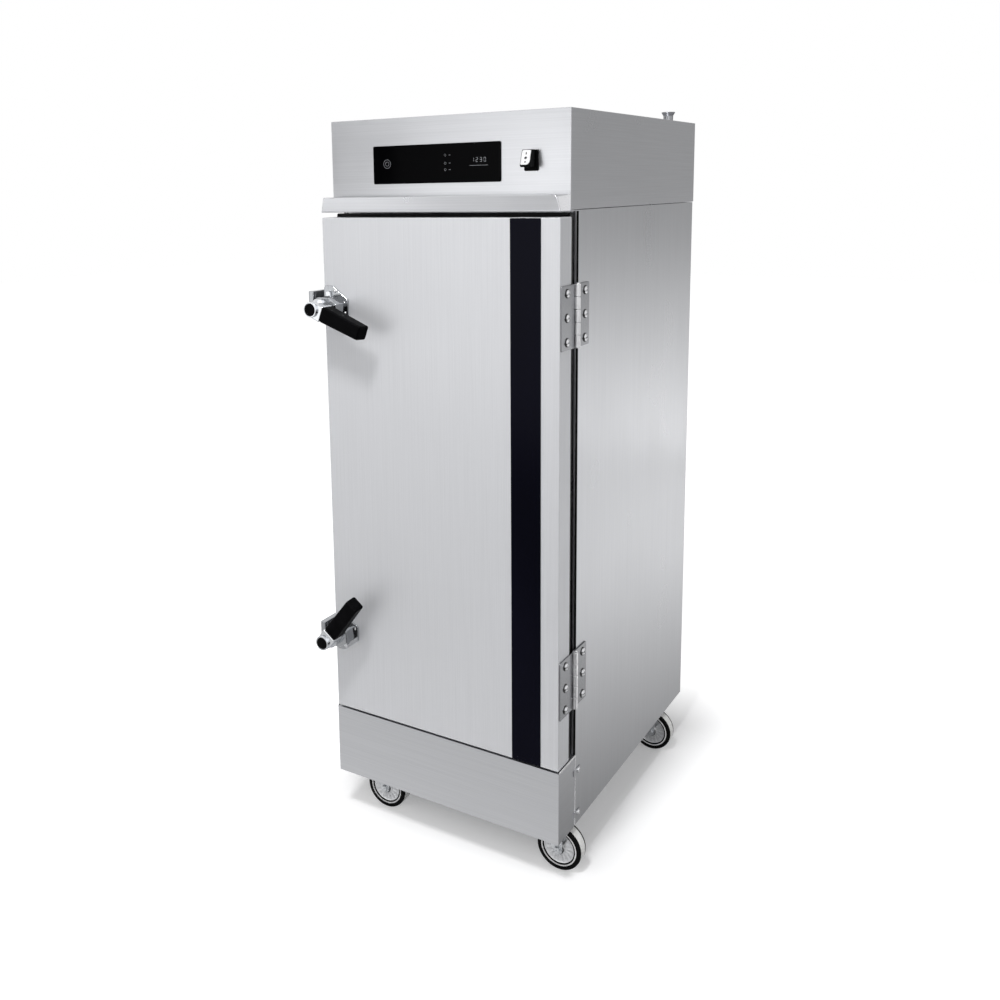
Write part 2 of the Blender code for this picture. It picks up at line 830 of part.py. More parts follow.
def hinge(place, middle, door):
    """Five knuckles on one pin: the cabinet's leaf holds three of them and the door's leaf two."""
    low = middle - LEAF_TALL / 2
    length = LEAF_TALL / KNUCKLES
    x, y = HINGE_AXIS
    thick = 0.0025
    panel_leaf = block(
        "hinge_frame_leaf_" + place,
        (HALF + GAP, y + KNUCKLE_RADIUS - 0.002, low),
        (HALF + GAP + thick, 0.084, low + LEAF_TALL),
        CABINET,
        SATIN,
    )
    door_leaf = block(
        "hinge_door_leaf_" + place,
        (DOOR_HALF + GAP, DOOR_FRONT + 0.001, low),
        (DOOR_HALF + GAP + thick, y - KNUCKLE_RADIUS + 0.002, low + LEAF_TALL),
        door,
        SATIN,
    )
    for index in range(KNUCKLES):
        on_panel = index % 2 == 0
        leaf = panel_leaf if on_panel else door_leaf
        carrier = CABINET if on_panel else door
        join(leaf, knuckle("knuckle", index, low, carrier))
        other = door_leaf if on_panel else panel_leaf
        relief = block(
            "knuckle_relief",
            (x - 0.010, y - KNUCKLE_RADIUS - 0.0008, low + index * length - GAP / 2),
            (x + 0.010, y + KNUCKLE_RADIUS + 0.0008, low + (index + 1) * length + GAP / 2),
            door if on_panel else CABINET,
        )
        cut(other, relief)
    pin = rod(
        "hinge_pin_" + place,
        PIN_RADIUS,
        "Z",
        low - 0.001,
        low + LEAF_TALL + 0.0005,
        HINGE_AXIS,
        CABINET,
        ZINC,
        16,
    )
    rest, crown = low + LEAF_TALL + GAP, low + LEAF_TALL + 0.0030
    head = rod("pin_head", 0.0052, "Z", rest, crown, HINGE_AXIS, CABINET, None, 16)
    join(pin, head)


def door_panels(door):
    """The door: an outer pan, an inner pan with its raised field, a seal and a film strip."""
    skin = block(
        "door_skin",
        (-DOOR_HALF, DOOR_FRONT, DOOR_LOW),
        (DOOR_HALF, DOOR_BACK, DOOR_HIGH),
        door,
        BRUSHED,
    )
    soften(skin, 0.0012, 2)
    pan_half = DOOR_HALF - SHEET
    inside = block(
        "skin_inside",
        (-pan_half, DOOR_FRONT + SHEET, DOOR_LOW + SHEET),
        (pan_half, DOOR_BACK + 0.01, DOOR_HIGH - SHEET),
        door,
    )
    cut(skin, inside)
    pan = block(
        "door_inner_pan",
        (-pan_half + GAP, DOOR_FRONT + SHEET + GAP, DOOR_LOW + SHEET + GAP),
        (pan_half - GAP, DOOR_BACK, DOOR_HIGH - SHEET - GAP),
        door,
        SATIN,
    )
    field = block("raised_field", (-0.226, -0.01, 0.315), (0.226, 0.0135, 1.345), door)
    soften(field, 0.005)
    hollow = block(
        "pan_hollow",
        (-0.224, DOOR_FRONT, 0.317),
        (0.224, 0.0135 - SHEET, 1.343),
        door,
    )
    cut(join(pan, field), hollow)
    seal = block(
        "door_gasket",
        (-0.262, DOOR_BACK + GAP, 0.278),
        (0.262, FRAME_FRONT - GAP, 1.383),
        door,
        SEAL,
    )
    soften(seal, 0.004)
    field_gap = block("seal_inside", (-0.244, -0.02, 0.2965), (0.244, 0.04, 1.3645), door)
    cut(seal, field_gap)
    block(
        "door_strip",
        (STRIP_SIDES[0], DOOR_FRONT - 0.0012, DOOR_LOW + 0.001),
        (STRIP_SIDES[1], DOOR_FRONT - GAP, DOOR_HIGH - 0.001),
        door,
        NAVY,
    )


def tongue_sector(hand):
    """The slot in the boss that the cam tongue sweeps through, a little wider than its travel."""
    reach = 0.070
    margin = 0.0072
    start, end = math.radians(66), math.radians(164)
    low = Vector((math.sin(start), -math.cos(start))) * margin
    high = Vector((-math.sin(end), math.cos(end))) * margin
    corners = [
        high,
        low,
        low + Vector((math.cos(start), math.sin(start))) * reach,
        Vector((-reach, reach)),
        high + Vector((math.cos(end), math.sin(end))) * reach,
    ]
    return [(u, w * hand) for u, w in corners]


def latch(place, height, hand, grip_angle, door):
    """A cam latch: a plate and boss on the door, and a lever whose tongue swings past the edge."""
    spot = (LATCH_X, 0, height)
    plate_front = DOOR_FRONT - 0.0043
    lobe = rounded(
        [
            (-0.019, -0.033),
            (0.010, -0.033),
            (0.044, -0.020),
            (0.044, 0.015),
            (0.004, 0.044),
            (-0.019, 0.044),
        ],
        [0.006, 0.006, 0.006, 0.008, 0.008, 0.006],
    )
    lobe = [(u, w * hand) for u, w in lobe]
    base = outline(
        "latch_base_" + place, lobe, "XZ", plate_front, DOOR_FRONT - GAP, door, CHROME, spot
    )
    body = rounded(
        [(-0.020, -0.021), (0.036, -0.021), (0.038, 0.009), (0.016, 0.022), (-0.020, 0.022)],
        [0.012, 0.004, 0.003, 0.008, 0.012],
    )
    body = [(u, w * hand) for u, w in body]
    boss = outline("latch_boss", body, "XZ", BOSS_FRONT, plate_front + 0.001, door, None, spot)
    slot_front = TONGUE_SIDES[0] - 0.0008
    slot = outline("tongue_slot", tongue_sector(hand), "XZ", slot_front, plate_front, door, None, spot)
    bore = rod("spindle_bore", 0.0080, "Y", BOSS_FRONT - 0.01, plate_front, (LATCH_X, height), door)
    join(base, boss)
    cut(base, slot, bore)

    axis = empty("latch_axis_" + place, (LATCH_X, BOSS_FRONT, height), door)
    hub_back = BOSS_FRONT - 0.0005
    hub = [
        (0.0, hub_back),
        (0.0200, hub_back),
        (0.0205, -0.0980),
        (0.0175, -0.1070),
        (0.0165, LATCH_FRONT + 0.0010),
        (0.0158, LATCH_FRONT),
        (0.0138, LATCH_FRONT),
        (0.0138, LATCH_FRONT + 0.0015),
        (0.0, LATCH_FRONT + 0.0015),
    ]
    lever = turned("latch_lever_" + place, hub, "Y", spot, axis, CHROME, 20)
    collar = [(-0.006, -0.0165), (0.0265, -0.0180), (0.0265, 0.0180), (-0.006, 0.0165)]
    arm = spin(rounded(collar, 0.003), grip_angle)
    tang = spin(rectangle((0.020, -0.007), (0.080, 0.007)), grip_angle)
    tongue_angle = grip_angle + hand * TONGUE_LEAD
    nose = rounded(
        [(0.0, -0.0060), (TONGUE_REACH, -0.0055), (TONGUE_REACH, 0.0055), (0.0, 0.0060)],
        [0, 0.004, 0.004, 0],
    )
    nose = spin(nose, tongue_angle)
    join(
        lever,
        outline("latch_arm", arm, "XZ", -0.1190, BOSS_FRONT - 0.0010, axis, None, spot),
        outline("latch_tang", tang, "XZ", -0.1070, -0.0960, axis, None, spot),
        rod("latch_spindle", 0.0076, "Y", hub_back - 0.001, TONGUE_SIDES[1], (LATCH_X, height), axis),
        outline("latch_tongue", nose, "XZ", TONGUE_SIDES[0], TONGUE_SIDES[1] - 0.0002, axis, None, spot),
    )
    latch_grip(place, axis, grip_angle, spot)


def latch_grip(place, axis, grip_angle, spot):
    """A moulded grip pushed over the lever's tang: a bar whose end face leans back."""
    start, end = 0.0268, 0.1275
    middle = -0.1015
    shaper = bmesh.new()
    bmesh.ops.create_cube(shaper, size=1.0)
    bmesh.ops.scale(shaper, vec=(end - start, 0.033, 0.0345), verts=shaper.verts)
    for corner in shaper.verts:
        if corner.co.x > 0:
            corner.co.y *= 0.83
            corner.co.z *= 0.91
            corner.co.x += 0.003 if corner.co.y > 0 else -0.003
    bmesh.ops.translate(shaper, vec=((start + end) / 2, middle, 0), verts=shaper.verts)
    mesh = bpy.data.meshes.new("latch_grip")
    shaper.to_mesh(mesh)
    shaper.free()
    turn = Matrix.Rotation(-grip_angle, 3, "Y")
    grip = put("latch_grip_" + place, mesh, axis, BLACK, spot, turn)
    soften(grip, 0.003)
    hole = block(
        "tang_hole",
        (spot[0] + 0.010, -0.1073, spot[2] - 0.0073),
        (spot[0] + 0.0803, -0.0957, spot[2] + 0.0073),
        axis,
        None,
        turn,
        spot,
    )
    cut(grip, hole)


def keeper(place, height, hand):
    """A bracket on the cabinet's side that holds a roller in front of the tongue."""
    middle = height + hand * KEEPER_RISE
    foot = -HALF - GAP
    outside, inside = KEEPER_SIDES
    corners = [
        (outside, KEEPER_FRONT),
        (inside, KEEPER_FRONT),
        (inside, 0.044),
        (foot, 0.044),
        (foot, 0.104),
        (foot - 0.004, 0.104),
        (foot - 0.004, 0.058),
        (outside, 0.058),
    ]
    plan = rounded(corners, [0.003, 0.003, 0.003, 0, 0, 0, 0.004, 0.010])
    low, high = middle - KEEPER_HALF, middle + KEEPER_HALF
    bracket = outline("keeper_" + place, plan, "XY", low, high, CABINET, CHROME)
    rest = (ROLLER_Y, height + hand * ROLLER_RISE)
    pin = rod("keeper_pin", 0.0026, "X", inside - 0.004, inside + 0.0116, rest, CABINET)
    cap = rod("pin_cap", 0.0042, "X", inside + 0.0106, inside + 0.0116, rest, CABINET)
    join(bracket, pin, cap)
    axis = empty("roller_axis_" + place, (inside, *rest), CABINET)
    wheel = [(0.0029, 0.0103), (ROLLER_RADIUS, 0.0103), (ROLLER_RADIUS, GAP), (0.0029, GAP)]
    turned("keeper_roller_" + place, wheel, "X", anchor(axis), axis, BLACK, 20, closed=True)


def castor_fork(name, middle, swivel):
    """A pressed fork under its swivel race, with the axle bolt through its two legs."""
    x, y = middle
    crown = 0.1105
    race = [
        (0, CHASSIS_LOW - MOUNT_PLATE[2] - GAP),
        (0.0270, CHASSIS_LOW - MOUNT_PLATE[2] - GAP),
        (0.0290, 0.1250),
        (0.0270, 0.1200),
        (0.0190, 0.1170),
        (0.0170, 0.1090),
        (0, 0.1090),
    ]
    fork = turned(name, race, "Z", (x, y, 0), swivel, ZINC, 18)
    axle = (x + TRAIL, AXLE_HEIGHT)
    top = crown - 0.001
    leg = [(x - 0.0190, top), (x - 0.0190, top - 0.008)]
    for step in range(9):
        angle = math.radians(205 + step * 20)
        leg.append((axle[0] + 0.011 * math.cos(angle), axle[1] + 0.011 * math.sin(angle)))
    leg.append((x + 0.0350, top - 0.005))
    leg.append((x + 0.0350, top))
    join(
        fork,
        block("crown", (x - 0.020, y - 0.0207, crown - 0.004), (x + 0.036, y + 0.0207, crown), swivel),
    )
    for side in (-1, 1):
        near, far = sorted((y + side * 0.0182, y + side * 0.0212))
        join(fork, outline("fork_leg", leg, "XZ", near, far, swivel))
    join(fork, rod("axle", 0.0040, "Y", y - 0.0240, y + 0.0240, axle, swivel, None, 12))
    for side in (-1, 1):
        near, far = sorted((y + side * 0.0205, y + side * 0.0255))
        join(fork, rod("axle_head", 0.0068, "Y", near, far, axle, swivel, None, 6))


def castor_wheel(name, middle, swivel):
    """A cast wheel with a dished web, and the rubber tyre round its rim."""
    x, y = middle
    hub = (x + TRAIL, y, AXLE_HEIGHT)
    axis = empty(name + "_axle", hub, swivel)
    core = [
        (0.0044, 0.0172),
        (0.0110, 0.0172),
        (0.0125, 0.0100),
        (0.0350, 0.0092),
        (0.0375, 0.0140),
        (0.0425, 0.0140),
        (0.0425, -0.0140),
        (0.0375, -0.0140),
        (0.0350, -0.0092),
        (0.0125, -0.0100),
        (0.0110, -0.0172),
        (0.0044, -0.0172),
    ]
    turned(name + "_wheel", core, "Y", hub, axis, CASTING, WHEEL_FACETS, True, True)
    half = WHEEL_WIDTH / 2
    tyre = [
        (0.0428, half),
        (WHEEL_RADIUS - 0.0030, half),
        (WHEEL_RADIUS, half - 0.0045),
        (WHEEL_RADIUS, -half + 0.0045),
        (WHEEL_RADIUS - 0.0030, -half),
        (0.0428, -half),
    ]
    turned(name + "_tyre", tyre, "Y", hub, axis, RUBBER, WHEEL_FACETS, True, True)


def castors():
    for row, y in CASTOR_ROWS.items():
        for side, word in ((-1, "left"), (1, "right")):
            middle = (side * CASTOR_X, y)
            name = "castor_" + row + "_" + word
            swivel = empty(name + "_swivel", (*middle, 0), CABINET)
            castor_fork(name + "_fork", middle, swivel)
            castor_wheel(name, middle, swivel)


def services():
    """Drain valve with its lever, water inlet and cable gland, all on the back skin."""
    wall = BACK_FACE + GAP
    x, z = DRAIN_PLACE
    ball = 0.742
    body = [
        (0, DRAIN_END),
        (0.0125, DRAIN_END),
        (0.0125, 0.7580),
        (0.0150, 0.7530),
        (0.0165, ball),
        (0.0150, 0.7310),
        (0.0170, 0.7270),
        (0.0170, wall),
        (0, wall),
    ]
    valve = turned("drain_valve_body", body, "Y", (x, 0, z), CABINET, BRASS, 18)
    join(valve, rod("stem_boss", 0.0060, "Z", z + 0.008, z + 0.0210, (x, ball), CABINET, None, 16))
    axis = empty("drain_lever_axis", (x, ball, z), CABINET)
    hub = rounded([(-0.008, -0.008), (0.060, -0.006), (0.060, 0.006), (-0.008, 0.008)], 0.004)
    lever = outline(
        "drain_lever", hub, "XY", z + 0.0213, z + 0.0245, axis, ZINC, (x, ball, 0)
    )
    soften(lever, 0.0008, 1)
    inlet = [
        (0, 0.7520),
        (0.0098, 0.7520),
        (0.0105, 0.7510),
        (0.0105, 0.7300),
        (0.0180, 0.7295),
        (0.0180, wall),
        (0, wall),
    ]
    turned("water_inlet", inlet, "Y", (INLET_PLACE[0], 0, INLET_PLACE[1]), CABINET, BRASS, 18)
    gland = [
        (0, 0.7500),
        (0.0080, 0.7500),
        (0.0120, 0.7460),
        (0.0135, 0.7380),
        (0.0135, 0.7310),
        (0.0160, 0.7305),
        (0.0160, wall),
        (0, wall),
    ]
    turned("cable_gland", gland, "Y", (GLAND_PLACE[0], 0, GLAND_PLACE[1]), CABINET, BLACK, 18)


def build():
    side_panel("side_panel_left", -1)
    side_panel("side_panel_right", 1)
    back_panel()
    roof_panel()
    liners()
    face_frame()
    plinth()
    base_chassis()
    water_tank()
    heating_element()
    drip_plate()
    tray_rack("tray_rack_left", -1)
    tray_rack("tray_rack_right", 1)
    head_shell()
    head_covers()
    drip_lip()
    controls()
    vent_stub()
    door = empty("door_axis", (*HINGE_AXIS, 0), CABINET)
    door_panels(door)
    for place, middle in HINGE_HEIGHTS.items():
        hinge(place, middle, door)
    for place, set_up in LATCHES.items():
        latch(place, set_up["height"], set_up["hand"], set_up["grip_angle"], door)
        keeper(place, set_up["height"], set_up["hand"])
    castors()
    services()
    bpy.context.view_layer.update()


build()
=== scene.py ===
"""The look of the steam cabinet: every visible piece and its finish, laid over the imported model.

Metres, +Z up. The pieces are worked out from the middle of the cabinet's width and from the front
face of its control head, with +Y towards the back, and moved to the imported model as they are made.
"""

import math

import bmesh
import bpy
import numpy as np
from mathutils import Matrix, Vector


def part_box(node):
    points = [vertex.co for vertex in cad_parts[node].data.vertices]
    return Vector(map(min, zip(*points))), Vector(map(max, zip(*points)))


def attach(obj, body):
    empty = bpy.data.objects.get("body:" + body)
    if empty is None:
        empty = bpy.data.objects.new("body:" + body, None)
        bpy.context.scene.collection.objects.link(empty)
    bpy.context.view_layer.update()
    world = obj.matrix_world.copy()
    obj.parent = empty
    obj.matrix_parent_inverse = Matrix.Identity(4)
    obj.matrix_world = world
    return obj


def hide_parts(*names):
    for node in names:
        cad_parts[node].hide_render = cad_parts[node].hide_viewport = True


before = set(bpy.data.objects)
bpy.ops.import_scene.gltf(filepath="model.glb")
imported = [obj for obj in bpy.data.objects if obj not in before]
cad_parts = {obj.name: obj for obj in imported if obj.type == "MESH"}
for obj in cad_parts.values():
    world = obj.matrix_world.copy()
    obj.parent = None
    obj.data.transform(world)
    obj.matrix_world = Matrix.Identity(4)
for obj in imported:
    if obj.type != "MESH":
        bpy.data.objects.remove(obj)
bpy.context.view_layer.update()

# The studio: a camera at head height to the right of the front, a pale floor that runs on as a
# white background, three soft lamps, and the cards that steel needs to show its shape.
CAMERA_PLACE = (1.0985, -2.1261, 1.4474)
CAMERA_YAW = math.radians(32.72)
CAMERA_PITCH = math.radians(9.59)
CAMERA_ROLL = math.radians(-1.087)
SENSOR_WIDTH = 36.0
LENS = 37.037
CAMERA_SHIFT = (0.07991, -0.13795)
FOOT_MIDDLE = (0.0, 0.09, 0.0)
FOOT_HALF = (0.26, 0.32, 0.0)
PAPER_GLOSS = 0.3
PAPER_REACH = 14.0
PAPER_NEAR = (0.0, 0.24)
PAPER_FAR = (0.26, 0.8)
SKY_LIGHT = 0.36


def to_linear(hex_colour):
    """An sRGB hex colour as linear light: each channel over 12.92 when dark, else a 2.4 power."""
    channels = [int(hex_colour[i : i + 2], 16) / 255 for i in (0, 2, 4)]
    linear = [c / 12.92 if c <= 0.04045 else ((c + 0.055) / 1.055) ** 2.4 for c in channels]
    return (*linear, 1.0)


def add_node(tree, kind, inputs=None, **settings):
    """Adds a node. Each input is a value, or the socket that feeds it; settings are properties."""
    node = tree.nodes.new(kind)
    for key, value in settings.items():
        setattr(node, key, value)
    for key, value in (inputs or {}).items():
        if isinstance(value, bpy.types.NodeSocket):
            tree.links.new(value, node.inputs[key])
        else:
            node.inputs[key].default_value = value
    return node


def reckoned(tree, operation, *terms, kind="ShaderNodeMath", result=0):
    """One step of arithmetic on values, or with another kind of node on places."""
    return add_node(tree, kind, dict(enumerate(terms)), operation=operation).outputs[result]


def ramp(tree, value, low, high):
    """Spreads a value evenly. low and high are each a value and what comes out for it."""
    ends = {"From Min": low[0], "From Max": high[0], "To Min": low[1], "To Max": high[1]}
    return add_node(tree, "ShaderNodeMapRange", {"Value": value, **ends}).outputs[0]


def white_glow(tree, strength):
    """White light that a surface gives off."""
    inputs = {"Color": to_linear("ffffff"), "Strength": strength}
    return add_node(tree, "ShaderNodeEmission", inputs).outputs[0]


def empty_tree(holder):
    """The node tree of a material or a world, with nothing in it."""
    holder.use_nodes = True
    holder.node_tree.nodes.clear()
    return holder.node_tree


def seen_directly(tree, in_gloss=1.0):
    """1 for rays from the camera and through glass, in_gloss for rays off gloss, and 0 for the
    light that falls."""
    ray = add_node(tree, "ShaderNodeLightPath").outputs
    gloss = reckoned(tree, "MULTIPLY", ray["Is Glossy Ray"], in_gloss)
    first = reckoned(tree, "MAXIMUM", ray["Is Camera Ray"], gloss)
    return reckoned(tree, "MAXIMUM", first, ray["Is Transmission Ray"])


def set_camera():
    """Aims by yaw, pitch and roll: ahead, right and up are turned in that order."""
    level = math.cos(CAMERA_PITCH)
    ahead = Vector(
        (-math.sin(CAMERA_YAW) * level, math.cos(CAMERA_YAW) * level, -math.sin(CAMERA_PITCH))
    )
    right = Vector((math.cos(CAMERA_YAW), math.sin(CAMERA_YAW), 0.0))
    up = right.cross(ahead)
    across = right * math.cos(CAMERA_ROLL) + up * math.sin(CAMERA_ROLL)
    upward = up * math.cos(CAMERA_ROLL) - right * math.sin(CAMERA_ROLL)
    data = bpy.data.cameras.new("camera")
    data.sensor_width = SENSOR_WIDTH
    data.lens = LENS
    data.shift_x, data.shift_y = CAMERA_SHIFT
    camera = bpy.data.objects.new("camera", data)
    bpy.context.scene.collection.objects.link(camera)
    axes = [(*across, 0.0), (*upward, 0.0), (*-ahead, 0.0), (*CAMERA_PLACE, 1.0)]
    camera.matrix_world = np.array(axes)
    bpy.context.scene.camera = camera


def stage_card(name, corners, material, to_camera):
    """A flat card from its four corners. One that the camera may not see only shows in gloss."""
    mesh = bpy.data.meshes.new(name)
    mesh.from_pydata(corners, [], [(0, 1, 2, 3)])
    mesh.materials.append(material)
    card = bpy.data.objects.new(name, mesh)
    bpy.context.scene.collection.objects.link(card)
    card.visible_camera = to_camera
    return card


def paper_floor():
    """Pale paper. What is seen directly gets light of its own, more with the distance from the
    cabinet's footprint, length(max(abs(place - middle) - half, 0)), so that the paper runs on as
    white while the shadow round the castors stays."""
    paper = bpy.data.materials.new("studio_paper")
    tree = empty_tree(paper)
    on_places = "ShaderNodeVectorMath"
    place = add_node(tree, "ShaderNodeTexCoord").outputs["Object"]
    shifted = reckoned(tree, "SUBTRACT", place, FOOT_MIDDLE, kind=on_places)
    sides = reckoned(tree, "ABSOLUTE", shifted, kind=on_places)
    past = reckoned(tree, "SUBTRACT", sides, FOOT_HALF, kind=on_places)
    outside = reckoned(tree, "MAXIMUM", past, (0, 0, 0), kind=on_places)
    away = reckoned(tree, "LENGTH", outside, kind=on_places, result="Value")
    own_light = ramp(tree, away, PAPER_NEAR, PAPER_FAR)
    share = reckoned(tree, "MULTIPLY", seen_directly(tree, PAPER_GLOSS), own_light)
    matt = add_node(tree, "ShaderNodeBsdfDiffuse", {"Color": to_linear("dededf")})
    both = add_node(tree, "ShaderNodeAddShader", {0: matt.outputs[0], 1: white_glow(tree, share)})
    add_node(tree, "ShaderNodeOutputMaterial", {"Surface": both.outputs[0]})
    reach = PAPER_REACH
    corners = [(-reach, -reach, 0), (reach, -reach, 0), (reach, reach, 0), (-reach, reach, 0)]
    stage_card("floor", corners, paper, True)


def mirror_card(name, corners, way, start, end):
    """A card that only shows in gloss. A place's measure is its dot product with way. start and end
    are a measure and how bright the card is there, where white is 1, and between them the
    brightness runs evenly."""
    card_paper = bpy.data.materials.new(name + "_paper")
    tree = empty_tree(card_paper)
    place = add_node(tree, "ShaderNodeTexCoord").outputs["Object"]
    on_places = "ShaderNodeVectorMath"
    measure = reckoned(tree, "DOT_PRODUCT", place, way, kind=on_places, result="Value")
    light = white_glow(tree, ramp(tree, measure, start, end))
    add_node(tree, "ShaderNodeOutputMaterial", {"Surface": light})
    card = stage_card(name, corners, card_paper, False)
    card.visible_shadow = False
    card.visible_diffuse = False


def upright_card(name, foot, head, low, high, way, start, end):
    """A card standing on the line from foot to head, between two heights."""
    corners = [(*foot, low), (*head, low), (*head, high), (*foot, high)]
    mirror_card(name, corners, way, start, end)


def level_card(name, low, high, height, way, start, end):
    """A card that lies level between two corners, at a height."""
    corners = [
        (*low, height), (high[0], low[1], height), (*high, height), (low[0], high[1], height)
    ]
    mirror_card(name, corners, way, start, end)


def soft_lamp(name, place, aim, size, power):
    """A square soft box at place, turned to face the point that it aims at."""
    data = bpy.data.lights.new(name, "AREA")
    data.size = size
    data.energy = power
    lamp = bpy.data.objects.new(name, data)
    bpy.context.scene.collection.objects.link(lamp)
    lamp.location = place
    lamp.rotation_euler = (Vector(aim) - Vector(place)).to_track_quat("-Z", "Y").to_euler()


def studio_world():
    """White where it is seen directly, and dimmer as the light that falls on the object."""
    world = bpy.data.worlds.new("studio")
    bpy.context.scene.world = world
    tree = empty_tree(world)
    strength = ramp(tree, seen_directly(tree), (0.0, SKY_LIGHT), (1.0, 1.0))
    inputs = {"Color": to_linear("ffffff"), "Strength": strength}
    sky = add_node(tree, "ShaderNodeBackground", inputs)
    add_node(tree, "ShaderNodeOutputWorld", {"Surface": sky.outputs[0]})


set_camera()
studio_world()
paper_floor()
soft_lamp("key_lamp", (-1.1, -3.6, 1.9), (0, 0, 0.9), 2.4, 9)
soft_lamp("fill_lamp", (2.6, -3.4, 2.8), (0, 0, 0.8), 3.0, 20)
soft_lamp("top_lamp", (0.25, -2.3, 4.2), (0.2, 0, 0), 0.6, 95)
upright_card(
    "card_behind_right", (-0.4, 3.4), (3.6, 2.6), 0.01, 4.0, (0, 0, 1), (0.05, 1.4), (1.25, 0.46)
)
upright_card(
    "card_front_left", (-3.6, -1.2), (-1.75, -2.75), 1.4, 1.98, (0, 0, 1), (1.4, 0.1), (1.98, 0.1)
)
upright_card(
    "card_far_front", (-3.6, -3.9), (-1.1, -3.9), 0.01, 1.35, (1, 0, 0), (-3.1, 1.4), (-1.4, 1.72)
)
upright_card(
    "card_before_head", (-3.6, -3.9), (-1.1, -3.9), 1.37, 2.0, (1, 0, 0), (-3.1, 0.1), (-1.4, 1.75)
)
upright_card(
    "card_over_lip", (-3.8, -3.9), (-0.6, -3.9), 2.05, 3.6, (1, 0, 0), (-3.1, 3.1), (-2.3, 0.0)
)
level_card(
    "card_beside_right", (0.28, -0.4), (1.7, 2.9), 0.002, (1, 0.357, 0), (0.2, 0.27), (1.386, 1.1)
)
level_card(
    "card_low_right", (0.42, -3.4), (2.8, -0.42), 0.003, (1, 0, 0), (0.42, 0.04), (2.8, 0.04)
)
level_card(
    "card_before_door", (-3.4, -3.88), (0.6, -0.37), 0.002, (-0.25, 1, 0), (-0.4, 0.89),
    (-1.7, 0.52),
)
bpy.context.scene.view_settings.view_transform = "Standard"

# The walls: side panels, back skin and head are folded from 1.5 mm stainless sheet and welded at
# the corners. The sheet is polished with a belt along its length, which leaves fine straight
# lines, a soft sheen across them, and a slightly uneven surface that light slides over.
GRAIN_WIDTH = 0.0016
GRAIN_LENGTH = 0.24
WAVE_LENGTH = 0.35
WIPE_SIZE = (0.16, 0.16, 0.22)
WAVE_BUMP = (0.001, 0.05)
GRAIN_STRENGTH = 0.12
LEVELS = {"specular": "Specular IOR Level", "ior": "IOR"}
NOISE_ROUGHNESS = 0.55
NOISE_LOW = 0.3
NOISE_HIGH = 0.7


def new_finish(name, colour, roughness, metallic):
    """A material with its shader's own values set, and the tree and shader to build on."""
    finish = bpy.data.materials.new(name)
    finish.use_nodes = True
    tree = finish.node_tree
    shader = tree.nodes["Principled BSDF"]
    shader.inputs["Base Color"].default_value = to_linear(colour)
    shader.inputs["Roughness"].default_value = roughness
    shader.inputs["Metallic"].default_value = metallic
    return finish, tree, shader


def pattern(tree, size, detail):
    """Noise on the object's own metres. A blotch has one size, or one each along x, y and z."""
    place = add_node(tree, "ShaderNodeTexCoord").outputs["Object"]
    scale = tuple(1.0 / length for length in np.broadcast_to(size, 3).tolist())
    scaled = add_node(tree, "ShaderNodeMapping", {"Vector": place, "Scale": scale}).outputs[0]
    inputs = {"Vector": scaled, "Scale": 1.0, "Detail": detail, "Roughness": NOISE_ROUGHNESS}
    return add_node(tree, "ShaderNodeTexNoise", inputs).outputs[0]


def between(tree, factor, low, high):
    """The part of the factor's range where noise lives, spread over low to high."""
    return ramp(tree, factor, (NOISE_LOW, low), (NOISE_HIGH, high))


def tinted(tree, factor, dark, light):
    """A colour between two sRGB values, by the factor."""
    inputs = {0: between(tree, factor, 0.0, 1.0), 6: to_linear(dark), 7: to_linear(light)}
    return add_node(tree, "ShaderNodeMix", inputs, data_type="RGBA").outputs[2]


def rippled(tree, shader, layers):
    """Bumps laid one on another: each is a pattern, its depth in metres and its strength."""
    normal = None
    for height, depth, strength in layers:
        inputs = {"Height": height, "Distance": depth, "Strength": strength}
        if normal is not None:
            inputs["Normal"] = normal
        normal = add_node(tree, "ShaderNodeBump", inputs).outputs[0]
    tree.links.new(normal, shader.inputs["Normal"])


def belt_polished(name, dark, light, smooth, rough, grain_size, grain_depth, metallic=1.0):
    """Stainless sheet with belt lines along the longest of the grain's sizes. Less than all
    metallic stands for the light that deep belt lines scatter."""
    finish, tree, shader = new_finish(name, light, rough, metallic)
    grain = pattern(tree, grain_size, 4.0)
    wiped = pattern(tree, WIPE_SIZE, 2.0)
    wave = pattern(tree, WAVE_LENGTH, 0.0)
    tree.links.new(tinted(tree, grain, dark, light), shader.inputs["Base Color"])
    tree.links.new(between(tree, wiped, smooth, rough), shader.inputs["Roughness"])
    rippled(tree, shader, [(wave, *WAVE_BUMP), (grain, grain_depth, GRAIN_STRENGTH)])
    return finish


def patterned(
    name, colour, roughness, metallic, grain, tints=None, gloss=None, bump=None, **levels
):
    """A finish on a grain of noise: a blotch's size and the detail. It mixes the two tints, spreads
    the gloss between two roughnesses, and makes a bump of some depth and strength. Each of these
    may end with a grain of its own."""
    finish, tree, shader = new_finish(name, colour, roughness, metallic)
    for key, value in levels.items():
        shader.inputs[LEVELS[key]].default_value = value
    shared = pattern(tree, *grain)

    def noise_of(settings):
        """The grain that ends the settings, or the one that all share."""
        return pattern(tree, *settings[2]) if len(settings) == 3 else shared

    if tints:
        tree.links.new(tinted(tree, noise_of(tints), *tints[:2]), shader.inputs["Base Color"])
    if gloss:
        tree.links.new(between(tree, noise_of(gloss), *gloss[:2]), shader.inputs["Roughness"])
    if bump:
        rippled(tree, shader, [(noise_of(bump), *bump[:2])])
    return finish


